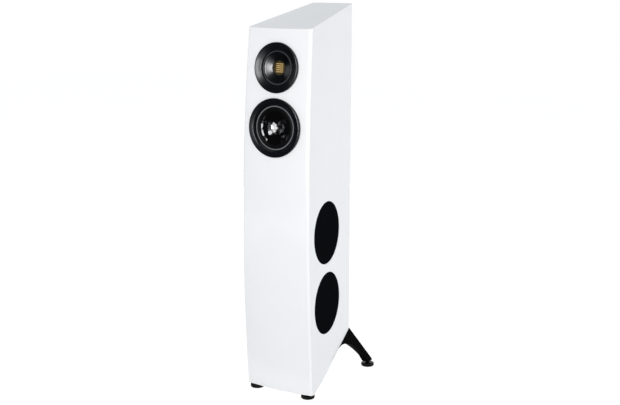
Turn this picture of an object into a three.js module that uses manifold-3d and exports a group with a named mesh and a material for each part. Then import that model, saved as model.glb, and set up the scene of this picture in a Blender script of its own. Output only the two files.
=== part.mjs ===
// Floorstanding loudspeaker with a bowed front, four woofers firing to the sides,
// a front midrange and a folded ribbon tweeter, on two front feet and two rear outrigger legs.
// Millimetres. +Z is up, the front faces -Y, and the floor is z = 0.
import * as THREE from 'three';
import { mergeVertices } from 'three/addons/utils/BufferGeometryUtils.js';
import Module from 'manifold-3d';

const wasm = await Module();
wasm.setup();

// Clearances
const seam = 0.3; // between pieces that touch
const shelfSeam = 0.6; // between a shelf's edge and the bowed or leaning walls
const slack = 0.3; // around a piece in its hole, on each side
const overrun = 20; // how far a cutting body runs past what it cuts

// Cabinet, outside. Depths run back from the foremost point of the front's upright edges.
const bottomWidth = 237.5;
const topWidth = 224;
const rearWidth = 159.2;
const bottomDepth = 316.9;
const topDepth = 337.5;
const frontBottomHeight = 14.3;
const bottomRise = 125.1; // from the front's lower edge up to the back's
const topRise = 62.2; // from the front's upper edge up to the back's
const bottomFlatLength = 37.4;
const waistHeight = 496.6; // where the front stands furthest forward
const topSetback = 33.2; // how far the front's top edge lies behind the waist
const frontBulge = 9.1; // how far the middle of the front stands before its edges
const frontEdgeRadius = 8;
const rearEdgeRadius = 6;

// Cabinet, panels
const baffleThickness = 30;
const sideThickness = 28;
const backThickness = 25;
const topThickness = 22;
const bottomThickness = 25;
const shelfThickness = 15;
const braceThickness = 15;
const braceRim = 24;

// Tweeter, on the front
const topGap = 39.9; // from its ring up to the front's upper edge
const tweeterRingRadius = 72.9;
const tweeterRingRise = 5;
const tweeterRingLip = 1.4;
const tweeterRidgeRadius = 49.2;
const tweeterRidgeWidth = 2.2;
const tweeterRidgeDepth = 5;
const hornMouthStep = 1.2;
const hornThroatRadius = 20.8;
const hornThroatDepth = 15.1;
const hornWall = 2.1;
const hornFlangeWidth = 10; // its seat around the hole in the baffle
const ribbonPlateThickness = 3;
const ribbonPlateRadius = 34;
const ribbonWidth = 24.5;
const ribbonPleats = 5;
const ribbonPitch = 5.8;
const ribbonDepth = 8;
const ribbonFoil = 1;
const tweeterMagnetRadius = 45;
const tweeterMagnetDepth = 38;
const tweeterPocketDepth = 12;
const tweeterHoleMargin = 7; // around the magnet

// Midrange, on the front
const ringGap = 13.8; // from its ring up to the tweeter's
const midGap = 21.3; // from the shelf's middle up to its ring
const midRingRadius = 86;
const midRingRise = 5;
const midRingLip = 1.4;
const midRingMargin = 0.9; // around the surround
const midBeadGap = 0.8; // from the surround's roll
const midBeadHeight = 2.3;
const midGrooveWidth = 2;
const midGrooveWall = 0.9; // under the groove's floor
const midShoulderWidth = 5.8; // from the groove up to the shoulder
const midShoulderRise = 1.5;
const midFlangeWidth = 11; // its seat around the hole in the baffle
const midFlangeThickness = 4;
const midHoleMargin = 8.5; // around the surround's roll
const midRollOuter = 60.5;
const midRollWidth = 7.5;
const midRollHeight = 4.5;
const midConeThroat = 17;
const midConeDepth = 17;
const midCapOverhang = 4; // past the cone's throat
const midCapRise = 7;
const midCoilLength = 16;
const midTravel = 4;
const midMotorRadius = 38;
const midSpiderDepth = 6;

// Woofers, on the sides, each pair back to back
const lowerWooferLift = 134.6; // from the back's lower edge up to the lower axis
const grilleGap = 29.1; // between the two grilles on a side
const shelfGap = 124.5; // from the upper grille up to the shelf's middle
const upperWooferInset = 11.1; // from the baffle's thickness back to the grille
const lowerWooferInset = 12.3;
const wooferFlangeWidth = 10; // its seat around the hole in the side
const wooferFlangeThickness = 4;
const wooferHoleMargin = 1; // around the surround's roll
const wooferRecess = 16; // from the side's face down to the flange's face
const wooferRollOuter = 80;
const wooferRollWidth = 14;
const wooferRollHeight = 7;
const wooferConeThroat = 22;
const wooferConeDepth = 21;
const wooferCapOverhang = 8; // past the cone's throat
const wooferCapRise = 6;
const wooferCoilLength = 23;
const wooferTravel = 5;
const wooferMotorRadius = 47;
const wooferSpiderDepth = 7;

// What both kinds of driver share
const rollThickness = 1;
const rollLip = 3; // flat rim of the surround, inside and outside the roll
const coneThickness = 1.5;
const coilThickness = 1.2;
const coilGap = 1.3; // magnetic gap on either side of the coil
const coilEndGap = 3; // left below the coil at its deepest
const backPlate = 9;
const spiderThickness = 1;
const spiderRimWidth = 4;
const basketPlate = 3;
const spokeCount = 4;
const spokeWidth = 11;
const spokeThickness = 4.5;

// Grilles over the woofers
const grilleMargin = 4.8; // around the woofer's flange
const grilleThickness = 6;
const grilleSkin = 1.5;
const grilleRimWidth = 7.5;
const grilleInset = 0.4;

// Reflex port, in the back
const portDrop = 60; // below the shelf's middle
const portRadius = 35;
const portWall = 3;
const portLength = 140;
const portFlare = 12;
const portFlangeRim = 9; // flat rim around the flare
const portFlangeThickness = 4;

// Terminals, in the back
const terminalLift = 122.6; // above the back's lower edge
const terminalWidth = 96;
const terminalTall = 78;
const terminalThickness = 4;
const terminalCutMargin = 12;
const postSpread = 19;
const postStudRadius = 3;
const postCollarRadius = 10;
const postCollarHeight = 5;
const postLength = 27;
const postTail = 14;
const capRadius = 8.5;
const capLength = 18;

// Crossover board, inside the back
const boardDrop = 163; // below the port's axis
const boardMargin = 8.9; // to the cabinet's sides
const boardTall = 150;
const boardThickness = 2.4;
const standoffRadius = 4;
const standoffLength = 8;
const inductorRadius = 20;
const inductorHole = 8;
const inductorHeight = 18;
const capacitorRadius = 9;
const capacitorLength = 40;

// Wadding, on the inside of the back behind the midrange
const waddingThickness = 40;
const waddingMargin = 6;

// Feet and rear legs
const footRadius = 21.1;
const footThickness = 10;
const footEdge = 2.5;
const footCollarRadius = 7;
const footStemRadius = 4;
const footStemLength = 11;
const frontFootInset = 27.05; // from the cabinet's bottom edge in to the foot's axis
const frontFootSetback = 19.12; // from the front's face back to the foot's axis
const rearFootSplay = 36; // from the cabinet's rear edge out to the foot's axis
const rearFootReach = 59.1; // from the cabinet's back to the foot's axis
const legWidth = 22;
const legBlockReach = 13; // from the stem's axis to the block's ends
const legBlockBottom = 16.5;
const legRootLength = 87.9; // from the back's lower edge forward to where the leg meets the underside
const legTipSplay = 8.3; // from the foot's axis out to the leg's tip
const legTipReach = 13;
const legTipRise = 5.1; // from the block's underside up to the leg's tip
const legArchInset = 28.9; // from the back's lower edge forward to where the arch's end tangents cross
const legArchDrop = 4.4; // and how far below the underside they cross
const legArchEndInset = 22; // from the foot's axis forward to the arch's end
const legArchEndRise = 21.5; // from the block's underside up to the arch's end

// Roundness of turned and bowed pieces, as counts of sides or steps
const showSides = 32;
const grilleSides = 24;
const innerSides = 14;
const smallSides = 10;
const frontSteps = 10;
const cornerSteps = 2;
const levelSteps = 10;
const rollSteps = 3;
const flareSteps = 3;
const archSteps = 8;
const cornerPasses = 4; // rounds in which a plan's front corner settles on both of its walls

// Sizes that follow from what a piece sits in or holds
const tweeterHoleRadius = tweeterMagnetRadius + tweeterHoleMargin;
const hornFlangeRadius = tweeterHoleRadius + hornFlangeWidth;
const midHoleRadius = midRollOuter + midHoleMargin;
const midFlangeRadius = midHoleRadius + midFlangeWidth;
const midRingInner = midRollOuter + rollLip + midRingMargin;
const wooferHoleRadius = wooferRollOuter + wooferHoleMargin;
const wooferFlangeRadius = wooferHoleRadius + wooferFlangeWidth;
const grilleHoleRadius = wooferFlangeRadius + grilleMargin;
const portFlangeRadius = portRadius + portFlare + portFlangeRim;

// Heights, stacked from the floor up
const rearBottomHeight = frontBottomHeight + bottomRise;
const terminalHeight = rearBottomHeight + terminalLift;
const lowerWooferHeight = rearBottomHeight + lowerWooferLift;
const upperWooferHeight = lowerWooferHeight + 2 * grilleHoleRadius + grilleGap;
const shelfHeight = upperWooferHeight + grilleHoleRadius + shelfGap;
const portHeight = shelfHeight - portDrop;
const boardHeight = portHeight - boardDrop;
const midHeight = shelfHeight + midGap + midRingRadius;
const tweeterHeight = midHeight + midRingRadius + ringGap + tweeterRingRadius;
const frontTopHeight = tweeterHeight + tweeterRingRadius + topGap;
const rearTopHeight = frontTopHeight + topRise;

// Cabinet surfaces
const sagitta = (x, radius) => radius - Math.sqrt(radius * radius - x * x);
const arcRadius = (chord, rise) => (chord * chord + rise * rise) / (2 * rise);
const mix = THREE.MathUtils.lerp;
const sideRadius = arcRadius(frontTopHeight - waistHeight, topSetback);
const setbackAt = (z) => sagitta(z - waistHeight, sideRadius);
const sideSlope = (bottomWidth - rearWidth) / 2 / bottomDepth;
const widthSlope = (bottomWidth - topWidth) / 2 / (frontTopHeight - frontBottomHeight);
const backSlope = (topDepth - bottomDepth) / (rearTopHeight - rearBottomHeight);
const halfWidthAt = (y, z) => bottomWidth / 2 - widthSlope * (z - frontBottomHeight) - sideSlope * y;
const backAt = (z) => bottomDepth + backSlope * (z - rearBottomHeight);
const edgeHalfWidth = (z) => halfWidthAt(setbackAt(z), z);
const planRadius = arcRadius(edgeHalfWidth(waistHeight), frontBulge);
const frontAt = (x, z) => setbackAt(z) - sagitta(edgeHalfWidth(z), planRadius) + sagitta(x, planRadius);
const flatEnd = setbackAt(frontBottomHeight) + bottomFlatLength;
const undersideSlope = (rearBottomHeight - frontBottomHeight) / (bottomDepth - flatEnd);
const topSlope = (rearTopHeight - frontTopHeight) / (topDepth - topSetback);
const undersideAt = (y, inset) =>
  frontBottomHeight + undersideSlope * (y - flatEnd) + inset * Math.hypot(1, undersideSlope);
const topAt = (y, inset) => frontTopHeight + topSlope * (y - topSetback) - inset * Math.hypot(1, topSlope);
const nearEnd = -frontBulge - overrun;
const farEnd = Math.max(bottomDepth, topDepth) + overrun;
const wide = Math.max(bottomWidth, topWidth) / 2 + overrun;
const high = rearTopHeight + overrun;

// Seats that follow from the front's curvature: how far it falls away at a ring's rim, and a little more.
const tweeterSeat = -sagitta(tweeterRingRadius, planRadius) - tweeterRingLip;
const midSeat = -sagitta(midRingRadius, planRadius) - midRingLip;
const hornFlangeTop = tweeterSeat - seam;
const ribbonPlateTop = -hornThroatDepth - hornWall - seam;
const ribbonWindow = ribbonPleats * ribbonPitch;
const midFlangeTop = midSeat - seam;
const midBeadSeat = midFlangeTop + seam + rollThickness + seam;

// Places of the feet and legs, from the middle and from the front's foremost edge
const frontFootSpread = bottomWidth / 2 - frontFootInset;
const frontFootDepth = frontAt(frontFootSpread, frontBottomHeight) + frontFootSetback;
const rearFootSpread = rearWidth / 2 + rearFootSplay;
const rearFootDepth = bottomDepth + rearFootReach;
const legRootDepth = bottomDepth - legRootLength;
const legTipSpread = rearFootSpread + legTipSplay;
const legTipDepth = rearFootDepth + legTipReach;
const legTipHeight = legBlockBottom + legTipRise;
const legArchDepth = bottomDepth - legArchInset;
const legArchHeight = undersideAt(legArchDepth, 0) - legArchDrop;
const legArchEndDepth = rearFootDepth - legArchEndInset;
const legArchEndHeight = legBlockBottom + legArchEndRise;

const finishes = {
  lacquer: { color: 0xf0f0f3, roughness: 0.25, metalness: 0 },
  fibreboard: { color: 0x8a6a45, roughness: 0.8, metalness: 0 },
  blackSatin: { color: 0x17181a, roughness: 0.35, metalness: 0 },
  blackGloss: { color: 0x08080a, roughness: 0.12, metalness: 0.4 },
  blackCast: { color: 0x0b0b0c, roughness: 0.45, metalness: 0.3 },
  rubber: { color: 0x0d0d0e, roughness: 0.7, metalness: 0 },
  mesh: { color: 0x0f1014, roughness: 0.9, metalness: 0 },
  treatedCloth: { color: 0x9b7b3c, roughness: 0.9, metalness: 0 },
  ferrite: { color: 0x2d2d30, roughness: 0.6, metalness: 0.2 },
  gold: { color: 0xc9a253, roughness: 0.3, metalness: 0.9 },
  brass: { color: 0xc8a860, roughness: 0.25, metalness: 1 },
  circuit: { color: 0x1f4a2c, roughness: 0.6, metalness: 0 },
  wool: { color: 0xd8d6cf, roughness: 1, metalness: 0 },
};

// Keeps positions only, joins vertices that coincide and drops faces that this closes up.
function welded(geometry) {
  geometry.deleteAttribute('normal');
  geometry.deleteAttribute('uv');
  const merged = mergeVertices(geometry);
  const corners = merged.index.array;
  const kept = [];
  for (let i = 0; i < corners.length; i += 3) {
    const [a, b, c] = corners.slice(i, i + 3);
    if (a !== b && b !== c && c !== a) kept.push(a, b, c);
  }
  merged.setIndex(kept);
  return merged;
}

function solid(geometry) {
  const { attributes, index } = welded(geometry);
  const vertProperties = new Float32Array(attributes.position.array);
  const triVerts = new Uint32Array(index.array);
  return new wasm.Manifold(new wasm.Mesh({ numProp: 3, vertProperties, triVerts }));
}

function geometryOf(body) {
  const { vertProperties, triVerts } = body.getMesh();
  const geometry = new THREE.BufferGeometry();
  geometry.setAttribute('position', new THREE.BufferAttribute(new Float32Array(vertProperties), 3));
  geometry.setIndex(new THREE.BufferAttribute(new Uint32Array(triVerts), 1));
  geometry.computeVertexNormals();
  return geometry;
}

// Turns a closed profile of [radius, height] points about Z. The profile runs anticlockwise,
// seen with the axis on its left.
function turned(profile, sides, frame = new THREE.Matrix4()) {
  const outline = points(profile);
  if (profile[0][0] > 0) outline.push(outline[0].clone());
  return solid(new THREE.LatheGeometry(outline, sides).rotateX(Math.PI / 2).applyMatrix4(frame));
}

const points = (pairs) => pairs.map(([x, y]) => new THREE.Vector2(x, y));
const rod = (radius, low, top) => [[0, low], [radius, low], [radius, top], [0, top]];
const tube = (inner, outer, low, top) => [[inner, low], [outer, low], [outer, top], [inner, top]];
const moved = (x, y, z) => new THREE.Matrix4().makeTranslation(x, y, z);

function block(width, depth, height, frame) {
  return solid(new THREE.BoxGeometry(width, depth, height).applyMatrix4(frame));
}

// An outline of [y, z] points extruded along X.
function sideExtrusion(outline, left, right, frame = new THREE.Matrix4()) {
  const shape = new THREE.Shape(points(outline));
  const turn = new THREE.Matrix4().makeBasis(
    new THREE.Vector3(0, 1, 0), new THREE.Vector3(0, 0, 1), new THREE.Vector3(1, 0, 0));
  const geometry = new THREE.ExtrudeGeometry(shape, { depth: right - left, bevelEnabled: false });
  return solid(geometry.translate(0, 0, left).applyMatrix4(turn).applyMatrix4(frame));
}

// Skins outlines of equal length, one per level, into a closed body.
function loft(heights, outlineAt) {
  const outlines = heights.map(outlineAt);
  const count = outlines[0].length;
  const last = heights.length - 1;
  const faces = [];
  for (let level = 0; level < last; level++) {
    for (let i = 0; i < count; i++) {
      const low = level * count + i;
      const next = level * count + ((i + 1) % count);
      faces.push(low, next, next + count, low, next + count, low + count);
    }
  }
  const topStart = last * count;
  for (const [a, b, c] of THREE.ShapeUtils.triangulateShape(outlines[0], [])) faces.push(c, b, a);
  for (const [a, b, c] of THREE.ShapeUtils.triangulateShape(outlines[last], [])) {
    faces.push(topStart + a, topStart + b, topStart + c);
  }
  const positions = outlines.flatMap((outline, i) => outline.flatMap(({ x, y }) => [x, y, heights[i]]));
  const geometry = new THREE.BufferGeometry();
  geometry.setAttribute('position', new THREE.Float32BufferAttribute(positions, 3));
  geometry.setIndex(faces);
  return solid(geometry);
}

// Replaces a corner by an arc that touches both of its sides.
function rounded(corner, before, after, radius) {
  if (radius === 0) return [corner];
  const back = before.clone().sub(corner).normalize();
  const on = after.clone().sub(corner).normalize();
  const half = Math.acos(back.dot(on)) / 2;
  const centre = back.clone().add(on).setLength(radius / Math.sin(half)).add(corner);
  const start = back.clone().multiplyScalar(radius / Math.tan(half)).add(corner);
  const turn = Math.PI - 2 * half;
  return Array.from({ length: cornerSteps + 1 }, (_, i) =>
    start.clone().rotateAround(centre, (turn * i) / cornerSteps));
}

// The cabinet's plan at a height, drawn in by its walls: the bow of the front, then the two rear corners.
function plan(z, { front, side, back, frontRadius, rearRadius }) {
  const yBack = backAt(z) - back;
  const rearHalf = halfWidthAt(yBack, z) - side;
  let frontHalf = edgeHalfWidth(z) - side;
  for (let i = 0; i < cornerPasses; i++) frontHalf = halfWidthAt(frontAt(frontHalf, z) + front, z) - side;
  const face = (x) => new THREE.Vector2(x, frontAt(x, z) + front);
  const bow = [];
  for (let i = 1; i < frontSteps; i++) {
    bow.push(face(mix(frontRadius - frontHalf, frontHalf - frontRadius, i / frontSteps)));
  }
  const rearRight = new THREE.Vector2(rearHalf, yBack);
  const rearLeft = new THREE.Vector2(-rearHalf, yBack);
  return [
    ...rounded(face(-frontHalf), rearLeft, bow[0], frontRadius),
    ...bow,
    ...rounded(face(frontHalf), bow.at(-1), rearRight, frontRadius),
    ...rounded(rearRight, face(frontHalf), rearLeft, rearRadius),
    ...rounded(rearLeft, rearRight, face(-frontHalf), rearRadius),
  ];
}

const levels = Array.from({ length: levelSteps + 1 }, (_, i) => mix(0, high, i / levelSteps));
levels.push(waistHeight);
levels.sort((a, b) => a - b);

// What lies before or behind the surface at a given distance from the cabinet's face.
function frontZone(distance, isBehind) {
  return loft(levels, (z) => {
    const face = Array.from({ length: frontSteps + 1 }, (_, i) => {
      const x = mix(-wide, wide, i / frontSteps);
      return [x, frontAt(x, z) + distance];
    });
    return isBehind
      ? points([...face, [wide, farEnd], [-wide, farEnd]])
      : points([[-wide, nearEnd], [wide, nearEnd], ...face.reverse()]);
  });
}

const backZone = (distance) => loft([0, high], (z) => {
  const y = backAt(z) - distance;
  return points([[-wide, y], [wide, y], [wide, farEnd], [-wide, farEnd]]);
});

// What lies between the two planes at a given distance inside the cabinet's sides.
const middleZone = (distance) => loft([0, high], (z) => {
  const near = halfWidthAt(nearEnd, z) - distance;
  const far = halfWidthAt(farEnd, z) - distance;
  return points([[-near, nearEnd], [near, nearEnd], [far, farEnd], [-far, farEnd]]);
});

const heightZone = (low, top) =>
  block(2 * wide, 2 * farEnd, top - low, moved(0, 0, (low + top) / 2));
const sideZone = (side) => block(wide, 2 * farEnd, 2 * high, moved((side * wide) / 2, 0, 0));

// The cabinet's side view, its underside and top moved inwards.
function sideView(bottomInset, topInset) {
  const low = frontBottomHeight + bottomInset;
  const bend = flatEnd + (low - undersideAt(flatEnd, bottomInset)) / undersideSlope;
  return [
    [nearEnd, low], [bend, low], [farEnd, undersideAt(farEnd, bottomInset)],
    [farEnd, topAt(farEnd, topInset)], [nearEnd, topAt(nearEnd, topInset)],
  ];
}

const speaker = new THREE.Group();
speaker.position.y = (frontBulge - rearFootDepth - footRadius) / 2;

function addPiece(parent, name, body, finish) {
  const mesh = new THREE.Mesh(geometryOf(body), new THREE.MeshStandardMaterial(finishes[finish]));
  mesh.name = name;
  parent.add(mesh);
}

// A place on the cabinet's skin, with local Z along the outward normal and local Y up.
function placeOn(x, y, z, normal) {
  const out = normal.clone().normalize();
  const up = new THREE.Vector3(0, 0, 1).addScaledVector(out, -out.z).normalize();
  return new THREE.Matrix4().makeBasis(up.clone().cross(out), up, out).setPosition(x, y, z);
}

const faceSlope = (z) => (z - waistHeight) / (sideRadius - setbackAt(z));
const onFront = (z) => placeOn(0, frontAt(0, z), z, new THREE.Vector3(0, -1, faceSlope(z)));
const onSide = (side, y, z) =>
  placeOn(side * halfWidthAt(y, z), y, z, new THREE.Vector3(side, sideSlope, widthSlope));
const onBack = (z) => placeOn(0, backAt(z), z, new THREE.Vector3(0, 1, -backSlope));

function addStation(frame) {
  const group = new THREE.Group();
  group.applyMatrix4(frame);
  speaker.add(group);
  return group;
}

// A hole with recesses above it, open towards +Z. Each step is [radius, floor], and its flats
// lie at the radius, so that a round piece fits in it.
function steppedCut(steps, sides, frame) {
  const rings = steps.map(([radius, floor]) =>
    turned(rod(radius / Math.cos(Math.PI / sides), floor, overrun), sides, frame));
  return rings.reduce((all, ring) => all.add(ring));
}

const wooferDepth = (inset) => baffleThickness + inset + grilleHoleRadius;
const wooferPlaces = [
  { level: 'upper', height: upperWooferHeight, depth: wooferDepth(upperWooferInset) },
  { level: 'lower', height: lowerWooferHeight, depth: wooferDepth(lowerWooferInset) },
];
const sideNames = [['left', -1], ['right', 1]];

// The cabinet's panels meet face to face. The baffle's foot also takes the front feet's stems.
function buildCabinet() {
  const outerWalls = {
    front: 0, side: 0, back: 0, frontRadius: frontEdgeRadius, rearRadius: rearEdgeRadius,
  };
  const innerWalls = (margin) => ({
    front: baffleThickness + margin, side: sideThickness + margin, back: backThickness + margin,
    frontRadius: 0, rearRadius: 0,
  });
  const cavity = loft(levels, (z) => plan(z, innerWalls(0)))
    .intersect(sideExtrusion(sideView(bottomThickness, topThickness), -wide, wide));
  const outer = loft(levels, (z) => plan(z, outerWalls))
    .intersect(sideExtrusion(sideView(0, 0), -wide, wide));
  const body = outer.subtract(cavity).intersect(frontZone(baffleThickness + seam, true));
  const walls = body.subtract(backZone(backThickness + seam));
  const ends = walls.intersect(middleZone(sideThickness + seam));
  const sides = walls.subtract(middleZone(sideThickness));
  const lessAll = (panel, cuts) => cuts.reduce((rest, cut) => rest.subtract(cut), panel);

  const stemHoles = sideNames.map(([, side]) => stemCut(frontFootAxis(side), frontBottomHeight));
  addPiece(speaker, 'front_baffle',
    lessAll(outer.intersect(frontZone(baffleThickness, false)), [tweeterCut(), midrangeCut(), ...stemHoles]),
    'lacquer');
  for (const [sideName, side] of sideNames) {
    const cuts = wooferPlaces.map(({ height, depth }) => wooferCut(onSide(side, depth, height)));
    addPiece(speaker, `side_panel_${sideName}`, lessAll(sides.intersect(sideZone(side)), cuts), 'lacquer');
  }
  addPiece(speaker, 'top_panel', ends.intersect(heightZone(shelfHeight, high)), 'lacquer');
  addPiece(speaker, 'bottom_panel', ends.intersect(heightZone(0, shelfHeight)), 'lacquer');
  addPiece(speaker, 'back_panel',
    lessAll(body.intersect(backZone(backThickness)), [portCut(), terminalCut()]), 'lacquer');

  const plate = (height, thickness, margin) =>
    loft([height - thickness / 2, height + thickness / 2], (z) => plan(z, innerWalls(margin)));
  const braceHeight = (upperWooferHeight + lowerWooferHeight) / 2;
  const braceWindow = plate(braceHeight, braceThickness + 2 * overrun, braceRim);
  addPiece(speaker, 'chamber_shelf', plate(shelfHeight, shelfThickness, shelfSeam), 'fibreboard');
  addPiece(speaker, 'window_brace',
    plate(braceHeight, braceThickness, shelfSeam).subtract(braceWindow), 'fibreboard');

  const wadding = cavity
    .intersect(heightZone(shelfHeight + shelfThickness / 2 + waddingMargin, tweeterHeight))
    .intersect(backZone(backThickness + seam + waddingThickness))
    .intersect(middleZone(sideThickness + waddingMargin))
    .subtract(backZone(backThickness + seam));
  addPiece(speaker, 'chamber_wadding', wadding, 'wool');
}

// The tweeter: a raised ring over a horn, and behind the horn's throat a plate with a window
// in which a pleated foil hangs, its back in the magnet's pocket.
function tweeterCut() {
  return steppedCut([
    [tweeterHoleRadius, -baffleThickness - overrun],
    [hornFlangeRadius + slack, hornFlangeTop - hornWall - seam],
    [tweeterRingRadius + slack, tweeterSeat - seam],
  ], showSides, onFront(tweeterHeight));
}

function buildTweeter() {
  const place = addStation(onFront(tweeterHeight));
  const ringInner = tweeterRidgeRadius + slack;
  addPiece(place, 'tweeter_trim_ring', turned([
    [ringInner, tweeterSeat],
    [tweeterRingRadius, tweeterSeat],
    [tweeterRingRadius, tweeterRingRise - tweeterRingLip],
    [tweeterRingRadius - tweeterRingLip, tweeterRingRise],
    [tweeterRingRadius - 2 * tweeterRingLip, tweeterRingRise],
    [ringInner + tweeterRidgeWidth, tweeterSeat + tweeterRingLip],
    [ringInner, tweeterSeat + tweeterRingLip],
  ], showSides), 'blackSatin');

  const ridgeInner = tweeterRidgeRadius - tweeterRidgeWidth;
  addPiece(place, 'tweeter_horn', turned([
    [hornThroatRadius, -hornThroatDepth - hornWall],
    [ridgeInner, hornFlangeTop - hornWall],
    [hornFlangeRadius, hornFlangeTop - hornWall],
    [hornFlangeRadius, hornFlangeTop],
    [tweeterRidgeRadius, hornFlangeTop],
    [tweeterRidgeRadius, -tweeterRidgeDepth + tweeterRingLip],
    [ridgeInner, -tweeterRidgeDepth + tweeterRingLip],
    [ridgeInner - hornMouthStep, -tweeterRidgeDepth - hornMouthStep],
    [hornThroatRadius, -hornThroatDepth],
  ], showSides), 'blackGloss');

  const windowSize = [ribbonWidth + 2 * slack, ribbonWindow + 2 * slack];
  const plateLow = ribbonPlateTop - ribbonPlateThickness;
  const plateWindow = block(...windowSize, overrun, moved(0, 0, ribbonPlateTop));
  addPiece(place, 'ribbon_plate',
    turned(rod(ribbonPlateRadius, plateLow, ribbonPlateTop), showSides).subtract(plateWindow), 'gold');

  const magnetTop = plateLow - seam;
  const pocket = block(...windowSize, 2 * tweeterPocketDepth, moved(0, 0, magnetTop));
  addPiece(place, 'tweeter_magnet',
    turned(rod(tweeterMagnetRadius, magnetTop - tweeterMagnetDepth, magnetTop), innerSides)
      .subtract(pocket), 'ferrite');

  addPiece(place, 'tweeter_ribbon', pleatedFoil(), 'gold');
}

// A foil folded to and fro down its height, each fold's crest facing forwards.
function pleatedFoil() {
  const folds = Array.from({ length: 2 * ribbonPleats + 1 }, (_, i) => {
    const height = (i / 2) * ribbonPitch - ribbonWindow / 2;
    const depth = i % 2 === 1 ? 0 : ribbonDepth;
    return [height, ribbonPlateTop - depth];
  });
  const rear = folds.map(([height, front]) => [height, front - 2 * ribbonFoil]);
  return sideExtrusion([...rear, ...folds.reverse()], -ribbonWidth / 2, ribbonWidth / 2);
}

// One cone driver. All heights count from the flange's face, with +Z towards the listener.
function buildDriver(place, prefix, sides, size) {
  const { face, flangeRadius, flangeThickness, rollOuter, rollWidth, rollHeight } = size;
  const { throat, coneDepth, capOverhang, capRise, coilLength, travel, motorRadius, spiderDepth } = size;
  const rollInner = rollOuter - rollWidth;
  const capOuter = throat + capOverhang;
  const throatHeight = face - coneDepth;
  const coilEnd = throatHeight - coilLength;
  const spiderHeight = throatHeight - spiderDepth;
  const spiderLow = spiderHeight - spiderThickness - seam;
  const seatLow = spiderLow - 2 * basketPlate;
  const seatRadius = motorRadius - spiderThickness;
  const coilInner = throat - coilThickness;

  const flangeInner = rollOuter - rollLip / 2;
  const flange = turned(tube(flangeInner, flangeRadius, face - flangeThickness, face), sides);
  const seat = turned([
    [throat + 2 * basketPlate, seatLow],
    [seatRadius + basketPlate, seatLow],
    [seatRadius + basketPlate, spiderLow],
    [seatRadius - spiderRimWidth, spiderLow],
    [seatRadius - spiderRimWidth, spiderLow - basketPlate],
    [throat + 2 * basketPlate, spiderLow - basketPlate],
  ], sides);
  const spokeOutline = [
    [flangeInner, face - flangeThickness / 2],
    [seatRadius, spiderLow - basketPlate],
    [seatRadius, seatLow],
    [seatRadius + spokeThickness, seatLow],
    [flangeInner + spokeThickness / 4, face - flangeThickness - spokeThickness],
    [flangeInner + spokeThickness / 4, face - flangeThickness / 2],
  ];
  const spokes = Array.from({ length: spokeCount }, (_, i) => {
    const turn = new THREE.Matrix4().makeRotationZ((i / spokeCount) * 2 * Math.PI);
    return sideExtrusion(spokeOutline, -spokeWidth / 2, spokeWidth / 2, turn);
  });
  addPiece(place, `${prefix}_basket`, spokes.reduce((all, spoke) => all.add(spoke), flange.add(seat)),
    'blackCast');

  const plateTop = seatLow - seam;
  const gapFloor = coilEnd - travel - coilEndGap;
  addPiece(place, `${prefix}_magnet`, turned([
    [0, gapFloor - backPlate],
    [motorRadius, gapFloor - backPlate],
    [motorRadius, plateTop],
    [throat + coilGap, plateTop],
    [throat + coilGap, gapFloor],
    [coilInner - coilGap, gapFloor],
    [coilInner - coilGap, plateTop],
    [0, plateTop],
  ], sides), 'ferrite');

  const roll = (height, from, to) => Array.from({ length: rollSteps + 1 }, (_, i) => {
    const angle = mix(from, to, i / rollSteps);
    const middle = (rollOuter + rollInner) / 2;
    const half = (rollOuter - rollInner) / 2;
    return [middle + half * Math.cos(angle), height + rollHeight * Math.sin(angle)];
  });
  const rollBase = face + seam;
  addPiece(place, `${prefix}_surround`, turned([
    [rollInner - rollLip, rollBase],
    ...roll(rollBase, Math.PI, 0),
    [rollOuter + rollLip, rollBase],
    [rollOuter + rollLip, rollBase + rollThickness],
    ...roll(rollBase + rollThickness, 0, Math.PI),
    [rollInner - rollLip, rollBase + rollThickness],
  ], sides), 'rubber');

  const coneAt = (radius) => mix(throatHeight, face, (radius - throat) / (rollInner - throat));
  const capBase = coneAt(capOuter);
  const capAt = (radius) => capBase + capRise * (1 - (radius / capOuter) ** 2);
  addPiece(place, `${prefix}_cone`, turned([
    [0, capAt(0) - coneThickness],
    [coilInner, capAt(coilInner) - coneThickness],
    [coilInner, coilEnd],
    [throat, coilEnd],
    [throat, throatHeight - coneThickness],
    [rollInner, face - coneThickness],
    [rollInner, face],
    [capOuter, capBase],
    [capOuter / 2, capAt(capOuter / 2)],
    [0, capAt(0)],
  ], sides), 'blackGloss');

  addPiece(place, `${prefix}_spider`, turned([
    [throat + seam, spiderHeight - spiderThickness],
    [(throat + seatRadius) / 2, spiderHeight - spiderThickness],
    [seatRadius, spiderHeight - spiderThickness],
    [seatRadius, spiderHeight],
    [(throat + seatRadius) / 2, spiderHeight],
    [throat + seam, spiderHeight],
  ], sides), 'treatedCloth');
}

function midrangeCut() {
  return steppedCut([
    [midHoleRadius, -baffleThickness - overrun],
    [midFlangeRadius + slack, midFlangeTop - midFlangeThickness - seam],
    [midRingRadius + slack, midSeat - seam],
  ], showSides, onFront(midHeight));
}

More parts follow.
